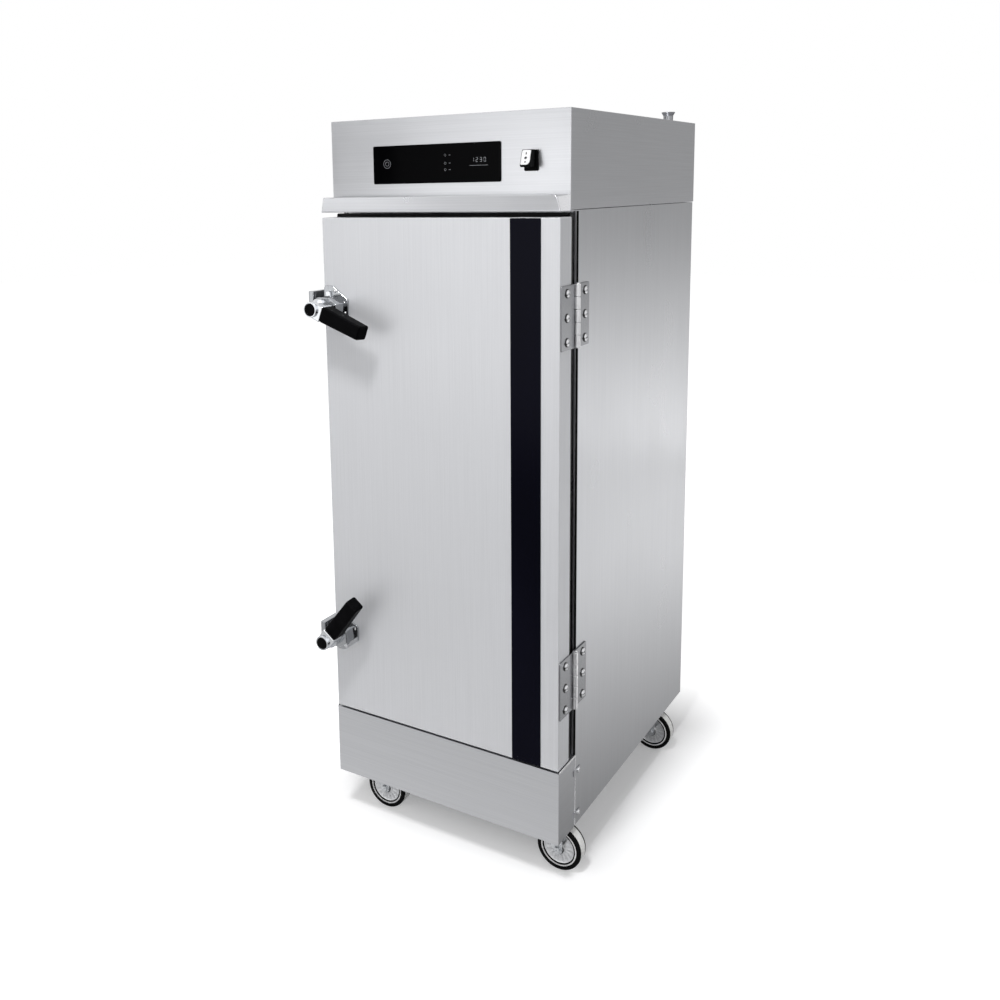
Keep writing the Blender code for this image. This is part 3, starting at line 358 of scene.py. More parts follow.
UPRIGHT_GRAIN = (GRAIN_WIDTH, GRAIN_WIDTH, GRAIN_LENGTH)
LEVEL_GRAIN = (GRAIN_LENGTH, GRAIN_LENGTH, GRAIN_WIDTH)
wall_steel = belt_polished(
    "belt_polished_stainless_upright", "bcbdc0", "c4c5c8", 0.27, 0.32, UPRIGHT_GRAIN, 0.00004
)
head_steel = belt_polished(
    "belt_polished_stainless_level", "bcbdc0", "c4c5c8", 0.27, 0.32, LEVEL_GRAIN, 0.00004
)
door_steel = belt_polished(
    "deep_belt_polished_stainless", "cecfd2", "d4d5d8", 0.46, 0.54, UPRIGHT_GRAIN, 0.00003, 0.48
)


def give(material, *nodes):
    """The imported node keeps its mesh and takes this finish."""
    for name in nodes:
        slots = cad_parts[name].material_slots
        if len(slots) == 0:
            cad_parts[name].data.materials.append(material)
        for slot in slots:
            slot.material = material


give(wall_steel, "side_panel_left", "side_panel_right", "back_panel")
give(head_steel, "head_shell", "head_top_cover", "head_back_cover", "plinth")

# Inside the chamber: liners, roof, mouth frame, drip plate, tank and tray racks are stainless
# left with the mill's bright satin surface, with a slightly uneven sheen.
satin_steel = belt_polished(
    "satin_stainless_liner", "b9babd", "bcbdc0", 0.22, 0.36, (0.004, 0.03, 0.004), 0.00003
)
give(
    satin_steel, "face_frame", "liner_back", "liner_left", "liner_right", "roof_panel",
    "drip_plate", "water_tank", "tray_rack_left", "tray_rack_right", "door_inner_pan",
)

# The door: an outer pan folded from one sheet with its edges turned back, an inner pan with a
# raised field, and a soft seal round the mouth. The pan's bends have the small round of a press
# brake and its back edge is left square.
SHEET = 0.0015
MIDDLE_X = (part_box("head_shell")[0].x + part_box("head_shell")[1].x) / 2
HEAD_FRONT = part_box("head_shell")[0].y
HOME = np.array([MIDDLE_X, HEAD_FRONT, 0.0])
DOOR_HALF = 0.279
DOOR_LOW = 0.27
DOOR_HIGH = 1.389
DOOR_FRONT = -0.044
DOOR_BACK = 0.006
BEND = 0.0018
CREASE = math.radians(32)
WELD = 2e-6


def rounded(corners, radii, steps=6):
    """Each corner becomes an arc: its centre lies on the corner's bisector, radius over the sine of
    half the corner's angle away, and the arc runs between the two points where it touches."""
    spots = np.array(corners, float)
    radius = np.broadcast_to(np.array(radii, float), (len(spots),)).reshape(-1, 1)
    back = np.roll(spots, 1, 0) - spots
    on = np.roll(spots, -1, 0) - spots
    back = back / np.linalg.norm(back, axis=1, keepdims=True)
    on = on / np.linalg.norm(on, axis=1, keepdims=True)
    half = np.arccos(np.clip((back * on).sum(1), -1, 1)).reshape(-1, 1) / 2
    bisector = (back + on) / np.linalg.norm(back + on, axis=1, keepdims=True)
    centre = spots + bisector * radius / np.sin(half)
    first = spots + back * radius / np.tan(half) - centre
    last = spots + on * radius / np.tan(half) - centre
    start = np.arctan2(first[:, 1], first[:, 0])
    sweep = np.arctan2(last[:, 1], last[:, 0]) - start
    sweep = (sweep + math.pi) % (2 * math.pi) - math.pi
    angles = start[:, None] + sweep[:, None] * np.linspace(0, 1, steps + 1)
    arcs = np.stack([np.cos(angles), np.sin(angles)], -1) * radius[:, :, None]
    return (centre[:, None, :] + arcs).reshape(-1, 2)


def box_outline(low, high):
    """A box's corners, from its low one round against the clock."""
    return [low, (high[0], low[1]), high, (low[0], high[1])]


def rounded_box(low, high, radii, steps=6):
    """A box's outline with its corners rounded."""
    corners = box_outline(low, high)
    return rounded(corners, radii, steps)


def drawn_in(outline, inset):
    """Every point moves inwards along its corner's bisector, so that both its edges move by the
    inset: the inset times the sum of the edges' normals over one plus their cosine."""
    edge = np.roll(outline, -1, 0) - outline
    keep = np.linalg.norm(edge, axis=1) > 1e-9
    outline = outline[keep]
    edge = np.roll(outline, -1, 0) - outline
    edge = edge / np.linalg.norm(edge, axis=1, keepdims=True)
    ahead = outline
    after = np.roll(outline, -1, 0)
    area = (ahead[:, 0] * after[:, 1] - after[:, 0] * ahead[:, 1]).sum()
    inward = np.stack([-edge[:, 1], edge[:, 0]], 1) * np.sign(area)
    before = np.roll(inward, 1, 0)
    cosine = (inward * before).sum(1, keepdims=True)
    return outline + inset * (inward + before) / (1 + cosine)


def set_axes(first, second, third, axis):
    """Points from three measures: the third runs along the axis, the first two along the others."""
    measures = [first, second]
    measures.insert("XYZ".index(axis), third)
    return np.stack(measures, -1)


def laid(outline, depth, plane):
    """The outline's two measures along the axes that the plane names, all at one depth."""
    axis = next(letter for letter in "XYZ" if letter not in plane)
    return set_axes(outline[:, 0], outline[:, 1], np.full(len(outline), float(depth)), axis)


def stacked(outline, steps, plane):
    """A grid of rings: the outline drawn in by each step's inset and laid at its depth."""
    return np.array([laid(drawn_in(outline, inset), depth, plane) for depth, inset in steps])


def round_edges(near, far, radius, count=4):
    """Depths and insets of a slab whose two rims are quarter circles of that radius."""
    turn = np.linspace(0, math.pi / 2, count + 1)
    depth = radius * (1 - np.cos(turn))
    inset = radius * (1 - np.sin(turn))
    way = 1 if far > near else -1
    front = list(zip(near + way * depth, inset))
    back = list(zip(far - way * depth[::-1], inset[::-1]))
    return front + back


def woven(grid, rows_close=False):
    """A grid's points, and the four corners of each of its faces. Each row closes on itself, and
    the last row closes on the first where asked."""
    rows, columns = grid.shape[:2]
    number = np.arange(rows * columns).reshape(rows, columns)
    number = np.hstack([number, number[:, :1]])
    if rows_close:
        number = np.vstack([number, number[:1]])
    corners = [number[:-1, :-1], number[:-1, 1:], number[1:, 1:], number[1:, :-1]]
    return grid.reshape(-1, 3), np.stack(corners, -1).reshape(-1, 4)


def slab(outline, near, far, radius, plane, count=4):
    """A plate: an outline carried through its thickness, with rounded rims."""
    return woven(stacked(outline, round_edges(near, far, radius, count), plane))


def piece(name, surfaces, body, finish, replaces=()):
    """One object from its surfaces. Seams and poles are welded, open rings get a flat face, faces
    turn outwards, and the shade is smooth where faces meet at less than the crease's angle, with
    the large faces leading, so that flat sheet stays flat beside its bends."""
    starts = np.cumsum([0] + [len(points) for points, _ in surfaces])
    points = np.concatenate([points for points, _ in surfaces]) + HOME
    faces = np.concatenate([faces + start for (_, faces), start in zip(surfaces, starts)])
    mesh = bpy.data.meshes.new(name)
    mesh.from_pydata(points.tolist(), [], faces.tolist())
    shaper = bmesh.new()
    shaper.from_mesh(mesh)
    bmesh.ops.remove_doubles(shaper, verts=shaper.verts, dist=WELD)
    rims = [edge for edge in shaper.edges if edge.is_boundary]
    bmesh.ops.holes_fill(shaper, edges=rims, sides=0)
    bmesh.ops.recalc_face_normals(shaper, faces=shaper.faces)
    shaper.to_mesh(mesh)
    shaper.free()
    mesh.shade_smooth()
    mesh.set_sharp_from_angle(angle=CREASE)
    mesh.materials.append(finish)
    made = bpy.data.objects.new(name, mesh)
    bpy.context.scene.collection.objects.link(made)
    even = made.modifiers.new("even_shade", "WEIGHTED_NORMAL")
    even.keep_sharp = True
    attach(made, body)
    if replaces:
        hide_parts(*replaces)


door_outline = rounded_box((-DOOR_HALF, DOOR_LOW), (DOOR_HALF, DOOR_HIGH), 0.0022, 4)
quarter = np.linspace(0, math.pi / 2, 6)
door_fold = list(zip(DOOR_FRONT + BEND * (1 - np.cos(quarter)), BEND * (1 - np.sin(quarter))))
door_fold += [(DOOR_BACK, 0.0), (DOOR_BACK, SHEET), (DOOR_FRONT + SHEET, SHEET)]
piece(
    "door_outer_pan", [woven(stacked(door_outline, door_fold, "XZ"))], "door", door_steel,
    ["door_skin"],
)

# The seal: a black silicone section pushed on round the pan. Its bulb is wide and soft, so it fills
# the gap behind the door's edge, and the mouth frame flattens it a little. It reaches up past the
# door's top edge, so its black also paints the shade under the drip lip and in the gap behind the
# door.
SEAL_BACK = 0.0063
SEAL_FRONT = 0.02
seal_rubber = patterned(
    "moulded_silicone_seal", "0b0b0c", 0.6, 0.0, (0.012, 2.0), tints=("080809", "131314"),
    gloss=(0.52, 0.7), specular=0.35,
)
# The seal's line runs above the door's top, where its black paints the shade under the lip.
seal_line = rounded_box((-0.2765, 0.2685), (0.2765, 1.3965), 0.004, 4)
seal_ring = rounded_box((SEAL_BACK, 0.0), (SEAL_FRONT, 0.033), [0.0008, 0.005, 0.006, 0.0008], 5)
piece(
    "door_seal", [woven(stacked(seal_line, seal_ring, "XZ"), rows_close=True)], "door", seal_rubber,
    ["door_gasket"],
)

# The edge strips: black strips on each side panel's front edge, beside the mouth frame, with a thin
# stainless welt down its middle. Their black is painted shade: the strips stand for the shadow in
# the gap beside the closed door, and show as its dark seam.
SIDES = ((-1, "left"), (1, "right"))
SHADE_STRIP_FACE = 0.0371
SHADE_STRIP_BACK = 0.0381
# The strips' black is painted shade for the gap beside the door.
seam_shade_black = patterned(
    "black_strip_painted_seam_shade", "0c0c0d", 0.7, 0.0, (0.0015, 2.0), tints=("070708", "121213"),
    bump=(0.0001, 0.4), specular=0.05,
)
for side, word in SIDES:
    shade_strip_outline = rounded_box((0.2686, 0.2675), (0.2797, 1.399), 0.001, 2) * [side, 1]
    flat = slab(shade_strip_outline, SHADE_STRIP_FACE, SHADE_STRIP_BACK, 0.0003, "XZ", 2)
    piece("seam_shade_strip_" + word, [flat], "cabinet", seam_shade_black)
    welt = rounded_box((0.2716, 0.268), (0.2752, 1.3985), 0.0004, 2) * [side, 1]
    raised = slab(welt, SHADE_STRIP_FACE - 0.0008, SHADE_STRIP_FACE + 0.0004, 0.0005, "XZ", 3)
    piece("edge_welt_" + word, [raised], "cabinet", wall_steel)

# The strip: a polyester film, printed dark blue on its back and laid down the door from top to
# bottom. Its face is smooth, with the faint orange-peel of a film rolled on by hand.
film = patterned(
    "printed_polyester_film", "05050f", 0.16, 0.0, ((0.3, 0.3, 0.5), 1.0),
    tints=("04040c", "090916"), gloss=(0.13, 0.22), bump=(0.00003, 0.2, (0.006, 1.0)), ior=1.57,
    specular=0.03,
)
strip_outline = rounded_box((0.1738, DOOR_LOW + 0.001), (0.2394, DOOR_HIGH - 0.001), 0.0015, 4)
piece(
    "door_strip_film",
    [slab(strip_outline, DOOR_FRONT - 0.0003, DOOR_FRONT - 0.001, 0.0002, "XZ", 2)], "door", film,
    ["door_strip"],
)

# The drip lip: a strip of sheet folded under the head. Its shelf runs back to the head, and its
# face leans out over the door's top edge. The free edges are hemmed, and the lower one is rolled,
# so they catch the light. At the right a slanting plate closes the fold. Its finish is lighter and
# less metallic than the lip's: painted light, so that it shows as bright as the head's front
# beside it.
LIP_BOTTOM = 1.3998
LIP_TOP = 1.431
LIP_LEAN = 0.16
LIP_HEM = 0.003


def leaning(surface):
    """Shears a surface: each point moves back by its height over the lip's lower rim times the
    lean."""
    points, faces = surface
    points[:, 1] += LIP_LEAN * (points[:, 2] - LIP_BOTTOM)
    return points, faces


lip_face = rounded(
    [(-0.28, LIP_BOTTOM), (0.2795, LIP_BOTTOM), (0.268, LIP_TOP), (-0.2785, LIP_TOP)],
    [0.0016, 0.0016, 0.0105, 0.004],
)
lip_back = DOOR_FRONT + LIP_LEAN * (LIP_TOP - LIP_BOTTOM)
lip_shelf = rounded(
    [(-0.277, lip_back), (0.2512, lip_back), (0.279, -0.0003), (-0.277, -0.0003)], 0.0005, 2
)
lip_foot = rounded_box((-0.274, LIP_TOP - 0.014), (0.259, LIP_TOP), 0.0005, 2)


def end_ring(front_y, height):
    """The end plate's section at a height: a strip of sheet from behind the lip's face to the
    head's corner, its second side one sheet away along the normal of the first."""
    start, end = np.array([0.25, front_y]), np.array([0.2794, -0.0004])
    along = (end - start) / np.linalg.norm(end - start)
    inward = np.array([-along[1], along[0]]) * SHEET
    return laid(np.array([start, end, end + inward, start + inward]), height, "XY")


lip_end = np.array(
    [
        end_ring(DOOR_FRONT + 0.0034, LIP_BOTTOM + 0.0004),
        end_ring(lip_back + 0.0034, LIP_TOP - 0.0004),
    ]
)
rim_low = (DOOR_FRONT - 0.0008, LIP_BOTTOM - 0.0002)
rim_high = (DOOR_FRONT + 0.0024, LIP_BOTTOM + 0.003)
rolled_rim = rounded_box(rim_low, rim_high, 0.00155, 5)
piece(
    "drip_lip_fold",
    [
        leaning(slab(lip_face, DOOR_FRONT, DOOR_FRONT + LIP_HEM, 0.0014, "XZ", 5)),
        slab(lip_shelf, LIP_TOP - SHEET, LIP_TOP, 0.0003, "XY", 2),
        slab(rolled_rim, -0.2792, 0.2785, 0.0006, "YZ", 3),
        slab(lip_foot, -0.0018, -0.0003, 0.0004, "XZ", 2),
    ],
    "cabinet", head_steel, ["drip_lip"],
)
# Painted light: the end plate is lighter and less metallic than the lip, to show as bright as the
# head.
lip_end_painted_light = patterned(
    "lip_end_stainless_painted_light", "e6e6e9", 0.42, 0.4, ((0.0012, 0.02, 0.0012), 3.0),
    tints=("dddde0", "eeeef0"), gloss=(0.36, 0.5),
)
piece("drip_lip_end", [woven(lip_end)], "cabinet", lip_end_painted_light)

# The display: 2 mm toughened glass, black behind, glued on the head. Small touch marks and a row
# of figures are printed under the glass, so they lie flat and dim.
GLASS_LOW = (-0.17, 1.457)
GLASS_HIGH = (0.132, 1.535)
GLASS_FACE = -0.0023
INK_DEPTHS = (GLASS_FACE - 0.00004, GLASS_FACE + 0.0001)
black_glass = patterned(
    "black_backed_toughened_glass", "030304", 0.05, 0.0, (0.02, 3.0), gloss=(0.04, 0.11), ior=1.52,
    specular=0.02,
)
glass_outline = rounded_box(GLASS_LOW, GLASS_HIGH, 0.003)
piece(
    "display_pane", [slab(glass_outline, GLASS_FACE, -0.0003, 0.0004, "XZ", 3)], "cabinet",
    black_glass, ["display_glass"],
)
print_ink = patterned(
    "screen_printed_grey_ink", "8b8d92", 0.35, 0.0, (0.002, 2.0), tints=("6f7176", "9a9ca1")
)


def circle(facets):
    """A circle of radius 1: cosine and sine at even steps of a full turn."""
    turn = np.linspace(0, 2 * math.pi, facets + 1)[:-1]
    return np.stack([np.cos(turn), np.sin(turn)], -1)


def printed(outline):
    """A mark of ink on the glass, a little proud of it."""
    return slab(outline, *INK_DEPTHS, 0.00001, "XZ", 1)


def printed_ring(x, z, radius, width):
    """A ring of ink: its section is carried round the centre, radius by radius."""
    face, sunk = INK_DEPTHS
    rims = [(radius, face), (radius + width, face), (radius + width, sunk), (radius, sunk)]
    rings = [laid(np.array([x, z]) + circle(24) * size, depth, "XZ") for size, depth in rims]
    return woven(np.array(rings), rows_close=True)


def bar(x, z, wide, tall):
    """A bar's outline about its middle, with rounded corners."""
    half_wide, half_tall = wide / 2, tall / 2
    corners = box_outline((x - half_wide, z - half_tall), (x + half_wide, z + half_tall))
    return rounded(corners, min(half_wide, half_tall) * 0.4, 2)


# Which of the seven bars light for each figure: top, upper right, lower right, foot, lower left,
# upper left, middle
FIGURES = {"0": "abcdef", "1": "bc", "2": "abged", "3": "abgcd"}


def figure_bars(x, z, size, lit):
    """A seven-bar figure, as tall as its size, from the bars that are lit."""
    wide = size * 0.5
    thick = size * 0.09
    rise = size / 4
    level = (wide, thick)
    upright = (thick, size / 2 - thick)
    bars = {
        "a": (0, size / 2, *level), "b": (wide / 2, rise, *upright),
        "c": (wide / 2, -rise, *upright), "d": (0, -size / 2, *level),
        "e": (-wide / 2, -rise, *upright), "f": (-wide / 2, rise, *upright), "g": (0, 0, *level),
    }
    return [bar(x + bars[key][0], z + bars[key][1], *bars[key][2:]) for key in lit]


display_marks = []
for height in (1.483, 1.496, 1.512):
    display_marks.append(printed_ring(0.006, height, 0.002, 0.0004))
    display_marks.append(printed(bar(0.0165, height, 0.004, 0.0007)))
for place, figure in enumerate("1230"):
    for outline in figure_bars(0.07 + place * 0.009, 1.501, 0.008, FIGURES[figure]):
        display_marks.append(printed(outline))
display_marks.append(printed(bar(0.0835, 1.49, 0.042, 0.0006)))
display_marks.append(printed_ring(-0.135, 1.498, 0.0085, 0.0006))
display_marks.append(printed_ring(-0.135, 1.498, 0.004, 0.0006))
piece("display_marks", display_marks, "cabinet", print_ink)

# The switch: a snap-in rocker of black moulded plastic. Its sloping front is a white insert with
# the marks for on and off, and its flange has a soft rim.
SWITCH_X = 0.198
SWITCH_Z = 1.496
black_moulding = patterned(
    "moulded_black_polyamide", "040405", 0.38, 0.0, (0.0008, 2.0), tints=("030304", "09090a"),
    gloss=(0.32, 0.46), bump=(0.00005, 0.25), ior=1.53, specular=0.03,
)
white_moulding = patterned(
    "moulded_white_abs", "e9e9ea", 0.3, 0.0, (0.006, 2.0), tints=("e2e2e3", "efeff0")
)
flange = rounded_box(
    (SWITCH_X - 0.015, SWITCH_Z - 0.02), (SWITCH_X + 0.015, SWITCH_Z + 0.02), 0.003
)
flange_inner = rounded_box(
    (SWITCH_X - 0.0125, SWITCH_Z - 0.0175), (SWITCH_X + 0.0125, SWITCH_Z + 0.0175), 0.002
)
piece(
    "switch_housing",
    [
        slab(flange, -0.003, -0.0003, 0.0009, "XZ"),
        slab(flange_inner, -0.0045, -0.001, 0.0006, "XZ"),
    ],
    "cabinet", black_moulding, ["switch_base"],
)
ROCKER_AXIS = (-0.005, SWITCH_Z + 0.004)
ROCKER_CORNERS = [
    (-0.0042, -0.0165), (0.0, 0.0), (0.0, 0.016), (-0.015, 0.016), (-0.025, -0.014),
    (-0.0215, -0.017),
]
rocker_side = rounded(
    np.array(ROCKER_CORNERS) + ROCKER_AXIS, [0.0004, 0.001, 0.0004, 0.002, 0.0016, 0.0016]
)
piece(
    "switch_rocker_body", [slab(rocker_side, SWITCH_X - 0.0105, SWITCH_X + 0.0105, 0.0008, "YZ")],
    "switch", black_moulding, ["switch_rocker"],
)
# The insert's own plane: it rises and leans back over the rocker's sloping front
SLOPE_FOOT = np.array(ROCKER_AXIS) + ROCKER_CORNERS[4]
SLOPE_HEAD = np.array(ROCKER_AXIS) + ROCKER_CORNERS[3]
MARK_PROUD = 0.00045
SWITCH_MARKS = [
    ((-0.0012, 0.0215), (0.0012, 0.0265), 0.0003), ((-0.0028, 0.0125), (0.0028, 0.0175), 0.0022),
    ((-0.0017, 0.0052), (0.0017, 0.0086), 0.0016),
]


def on_slope(outline, proud, sink):
    """A plate on the rocker's slope: across is x, up runs along the slope, and depth leaves it."""
    along = (SLOPE_HEAD - SLOPE_FOOT) / np.linalg.norm(SLOPE_HEAD - SLOPE_FOOT)
    out = np.array([-along[1], along[0]])
    rings = []
    for depth, inset in ((proud, 0.0002), (proud - 0.0001, 0.0), (-sink, 0.0)):
        spots = drawn_in(outline, inset)
        yz = SLOPE_FOOT + along * spots[:, 1:] + out * depth
        rings.append(np.column_stack([SWITCH_X + spots[:, 0], yz]))
    return woven(np.array(rings))


insert = rounded_box((-0.0092, 0.0016), (0.0092, 0.0304), [0.002, 0.007, 0.0024, 0.003])
piece("switch_insert", [on_slope(insert, 0.0004, 0.0005)], "switch", white_moulding)
dark_ink = patterned(
    "screen_printed_black_ink", "232326", 0.4, 0.0, (0.001, 2.0), tints=("1d1d20", "333338")
)
marks = [on_slope(rounded_box(low, high, r), MARK_PROUD, 0) for low, high, r in SWITCH_MARKS]
piece("switch_marks", marks, "switch", dark_ink)

# The hinges: two stamped leaves of thick stainless rolled into knuckles round one pin, screwed to
# the cabinet's side and to the door's edge with pan-head screws. The knuckles are finished lighter
# and less metallic than the leaves they are rolled from, a painted highlight down each barrel.
HINGE_X = 0.2845
HINGE_Y = 0.024
HINGE_TALL = 0.125
KNUCKLES = 5
KNUCKLE_RADIUS = 0.006
HINGE_HEIGHTS = {"upper": 1.198, "lower": 0.443}
LEAF_THICK = 0.0025
AIR = 0.0003
KNUCKLE_GAP = 0.0011
DOME_FALL = 0.62
CROSS_HALF = 0.16
CROSS_REACH = 0.66
CROSS_DEEP = 0.7
HEAD_FACETS = 40
SHADE_RING_BORE = 0.4
SCREW_STEP = 0.047
KNUCKLE_BORE = 0.0033
hinge_steel = patterned(
    "tumbled_stainless_stamping", "95969a", 0.22, 1.0, (0.003, 3.0), tints=("8f9093", "9b9c9f"),
    gloss=(0.2, 0.26), bump=(0.00004, 0.25),
)
screw_steel = patterned(
    "bright_stainless_screw", "dededf", 0.16, 1.0, (0.001, 2.0), tints=("cfd0d2", "e8e8ea"),
    gloss=(0.12, 0.24),
)
# Painted highlight: the knuckles' steel is lighter and less metallic than the leaves'.
knuckle_painted_highlight = patterned(
    "knuckle_stainless_painted_highlight", "ececee", 0.24, 0.6, ((0.002, 0.002, 0.012), 3.0),
    tints=("e9e9eb", "f0f0f2"), gloss=(0.21, 0.28),
)
# Painted shade: black rings under the screw heads and behind the castor legs' ends stand for the
# shade there.
shade_ring_black = patterned(
    "black_painted_shade_ring", "0d0d0e", 0.5, 0.0, (0.001, 2.0), tints=("09090a", "161617"), specular=0.2
)


def spun(profile, axis, centre, facets, closes=False):
    """A profile of (radius, height) carried round an axis: each point becomes a ring of cosine and
    sine of the turn, times its radius, at its height along the axis."""
    shape = np.array(profile, float)
    cosine, sine = circle(facets).T
    height = shape[:, 1:] * np.ones(facets)
    points = set_axes(shape[:, :1] * cosine, shape[:, :1] * sine, height, axis)
    return woven(points + np.array(centre, float), rows_close=closes)


def faced(local, centre, out):
    """Turns points whose third measure is height so that they stand on the face that out names, a
    sign and an axis, and moves them to the centre."""
    sign = 1 if out[0] == "+" else -1
    points = set_axes(local[..., 0], local[..., 1], local[..., 2] * sign, out[1])
    return points + np.array(centre, float)


def screw_head(centre, out, radius, height):
    """A pan head with a cross recess: on a round grid the height falls off with the third power of
    the distance from the middle, less the recess where a spot is near either of two crossed
    lines."""
    reach = np.linspace(0, 1, 13)[:, None]
    cosine, sine = circle(HEAD_FACETS).T
    across, along = reach * cosine, reach * sine
    dome = height * (1 - DOME_FALL * reach**3)
    near_line = np.minimum(np.abs(across), np.abs(along)) < CROSS_HALF
    recess = np.where(near_line & (reach < CROSS_REACH), CROSS_DEEP * height, 0.0)
    top = np.stack([across * radius, along * radius, dome - recess], -1)
    sunk = np.full(HEAD_FACETS, -0.0002)
    foot = np.column_stack([across[-1] * radius, along[-1] * radius, sunk])
    return woven(faced(np.concatenate([top, foot[None]]), centre, out))


def ring_of_painted_shade(centre, out, radius, height):
    """A flat black ring under a screw head, painting the shade round it: circles of two radii at two
    heights, joined round.
    """
    bore = SHADE_RING_BORE * radius
    rings = [(bore, 0.0), (radius, 0.0), (radius, height), (bore, height)]
    round_once = circle(HEAD_FACETS)
    local = [np.column_stack([round_once * r, np.full(HEAD_FACETS, h)]) for r, h in rings]
    return woven(faced(np.array(local), centre, out), rows_close=True)


def leaf_outline(low, own_first, barrel_side, free_side):
    """A leaf's outline: up its barrel side, stepping back past the other leaf's knuckles, and down
    its free side. The two sides are measures along y."""
    way = 1 if free_side > barrel_side else -1
    length = HINGE_TALL / KNUCKLES
    points, radii = [], []
    for index in range(KNUCKLES):
        own = (index % 2 == 0) == own_first
        side = barrel_side if own else HINGE_Y + way * (KNUCKLE_RADIUS + 0.001)
        bottom, top = low + index * length, low + (index + 1) * length
        trim = AIR if own else -AIR
        points += [(side, bottom + trim), (side, top - trim)]
        radii += [0.0004, 0.0004]
    points += [(free_side, low + HINGE_TALL), (free_side, low)]
    radii += [0.0035, 0.0035]
    points[0] = (points[0][0], low)
    points[2 * KNUCKLES - 1] = (points[2 * KNUCKLES - 1][0], low + HINGE_TALL)
    return rounded(points, radii, 3)


def barrels(low, own_first):
    """The knuckles that belong to a leaf: rings with a bore, rolled a little round at their rims.
    The gap between two knuckles is drawn as wide as it needs to show."""
    length = HINGE_TALL / KNUCKLES
    made = []
    for index in range(KNUCKLES):
        if (index % 2 == 0) != own_first:
            continue
        bottom = low + index * length + KNUCKLE_GAP / 2
        top = low + (index + 1) * length - KNUCKLE_GAP / 2
        radii = [0.0002, 0.0007, 0.0007, 0.0002]
        ring = rounded_box((KNUCKLE_BORE, bottom), (KNUCKLE_RADIUS, top), radii, 3)
        made.append(spun(ring, "Z", (HINGE_X, HINGE_Y, 0), 40, closes=True))
    return made


HEAD_RADIUS = 0.0074
HEAD_TALL = 0.0046
frame_face = 0.2803
door_face = DOOR_HALF + AIR
LEAVES = (
    ("body", "frame", True, HINGE_Y + 0.0035, 0.084, frame_face, "cabinet"),
    ("swing", "door", False, HINGE_Y - 0.0035, DOOR_FRONT + 0.001, door_face, "door"),
)
for place, middle in HINGE_HEIGHTS.items():
    low = middle - HINGE_TALL / 2
    for side, node, own_first, barrel_side, free_side, face, body in LEAVES:
        outline = leaf_outline(low, own_first, barrel_side, free_side)
        leaf = slab(outline, face, face + LEAF_THICK, 0.001, "YZ")
        name = "hinge_" + side
        piece(
            name + "_leaf_" + place, [leaf], body, hinge_steel, ["hinge_" + node + "_leaf_" + place]
        )
        piece(name + "_knuckles_" + place, barrels(low, own_first), body, knuckle_painted_highlight)
    high = low + HINGE_TALL
    pin = [
        (0.0, high + 0.0032), (0.003, high + 0.0029), (0.005, high + 0.0018), (0.0052, high + AIR),
        (0.003, high + AIR), (0.003, low - 0.0004), (0.0024, low - 0.001), (0.0, low - 0.001),
    ]
    piece(
        "hinge_rod_" + place, [spun(pin, "Z", (HINGE_X, HINGE_Y, 0), 32)], "cabinet", screw_steel,
        ["hinge_pin_" + place],
    )
    heights = [middle + step for step in (-SCREW_STEP, 0.0, SCREW_STEP)]
    screw_lines = (("body", frame_face, 0.064, "cabinet"), ("swing", door_face, -0.018, "door"))
    for side, face, y, body in screw_lines:
        seat = face + LEAF_THICK
        name = "hinge_" + side
        heads = [screw_head((seat + 0.0006, y, z), "+X", HEAD_RADIUS, HEAD_TALL) for z in heights]
        piece(name + "_screws_" + place, heads, body, screw_steel)
        # Each head sits on a black ring that paints the shade round it.
        wide = HEAD_RADIUS + 0.0016
        rings = [ring_of_painted_shade((seat - 0.0001, y, z), "+X", wide, 0.0008) for z in heights]
        piece(name + "_shade_rings_" + place, rings, body, shade_ring_black)

# The latches: zinc castings, polished and chromed. A plate with a boss is screwed to the door. A
# lever with a round hub turns on it, and its tongue swings in the boss's slot behind a roller.
# The chrome is thin and bright, with the faint ripple of the casting under it. The plates' chrome,
# and the keepers', is a darker copy of the lever's: painted shade for the dark that the plates
# reflect.
LATCH_X = -0.258
LATCH_HUBS = {"upper": (1.2, 1, math.radians(-21)), "lower": (0.456, -1, math.radians(52))}
PLATE_FACE = DOOR_FRONT - 0.0043
BOSS_FACE = -0.0825
HUB_FACE = -0.124
TONGUE_FRONT = -0.0545
TONGUE_BACK = -0.0489
TONGUE_LEAD = math.radians(120)
SLOT_MARGIN = 0.0072
SLOT_TURNS = (math.radians(66), math.radians(164))
DENSE_STEP = 0.0008
chrome = patterned(
    "chromed_zinc_casting", "d6d8db", 0.07, 1.0, (0.01, 1.0),
    tints=("cfd1d4", "dddfe2", (0.0015, 2.0)), gloss=(0.05, 0.12), bump=(0.0003, 0.25),
)
# Painted shade: the same chrome made darker for the plates and keepers.
plate_chrome_painted_dark = patterned(
    "chromed_zinc_plate_painted_dark", "a6a8ab", 0.11, 1.0, (0.004, 3.0), tints=("9fa1a4", "acaeb1"),
    gloss=(0.1, 0.14), bump=(0.0003, 0.25, (0.008, 1.0)),
)


def turned_flat(points, angle):
    """Points of a flat outline turned about the origin: its cosine and sine mix the two."""
    spots = np.array(points, float)
    c, s = math.cos(angle), math.sin(angle)
    return np.stack([spots[:, 0] * c - spots[:, 1] * s, spots[:, 0] * s + spots[:, 1] * c], 1)


def dense(outline):
    """The outline with points at even steps of its length."""
    closed = np.vstack([outline, outline[:1]])
    run = np.concatenate([[0], np.cumsum(np.linalg.norm(np.diff(closed, axis=0), axis=1))])
    marks = np.linspace(0, run[-1], int(run[-1] / DENSE_STEP) + 1)[:-1]
    return np.stack([np.interp(marks, run, closed[:, 0]), np.interp(marks, run, closed[:, 1])], 1)


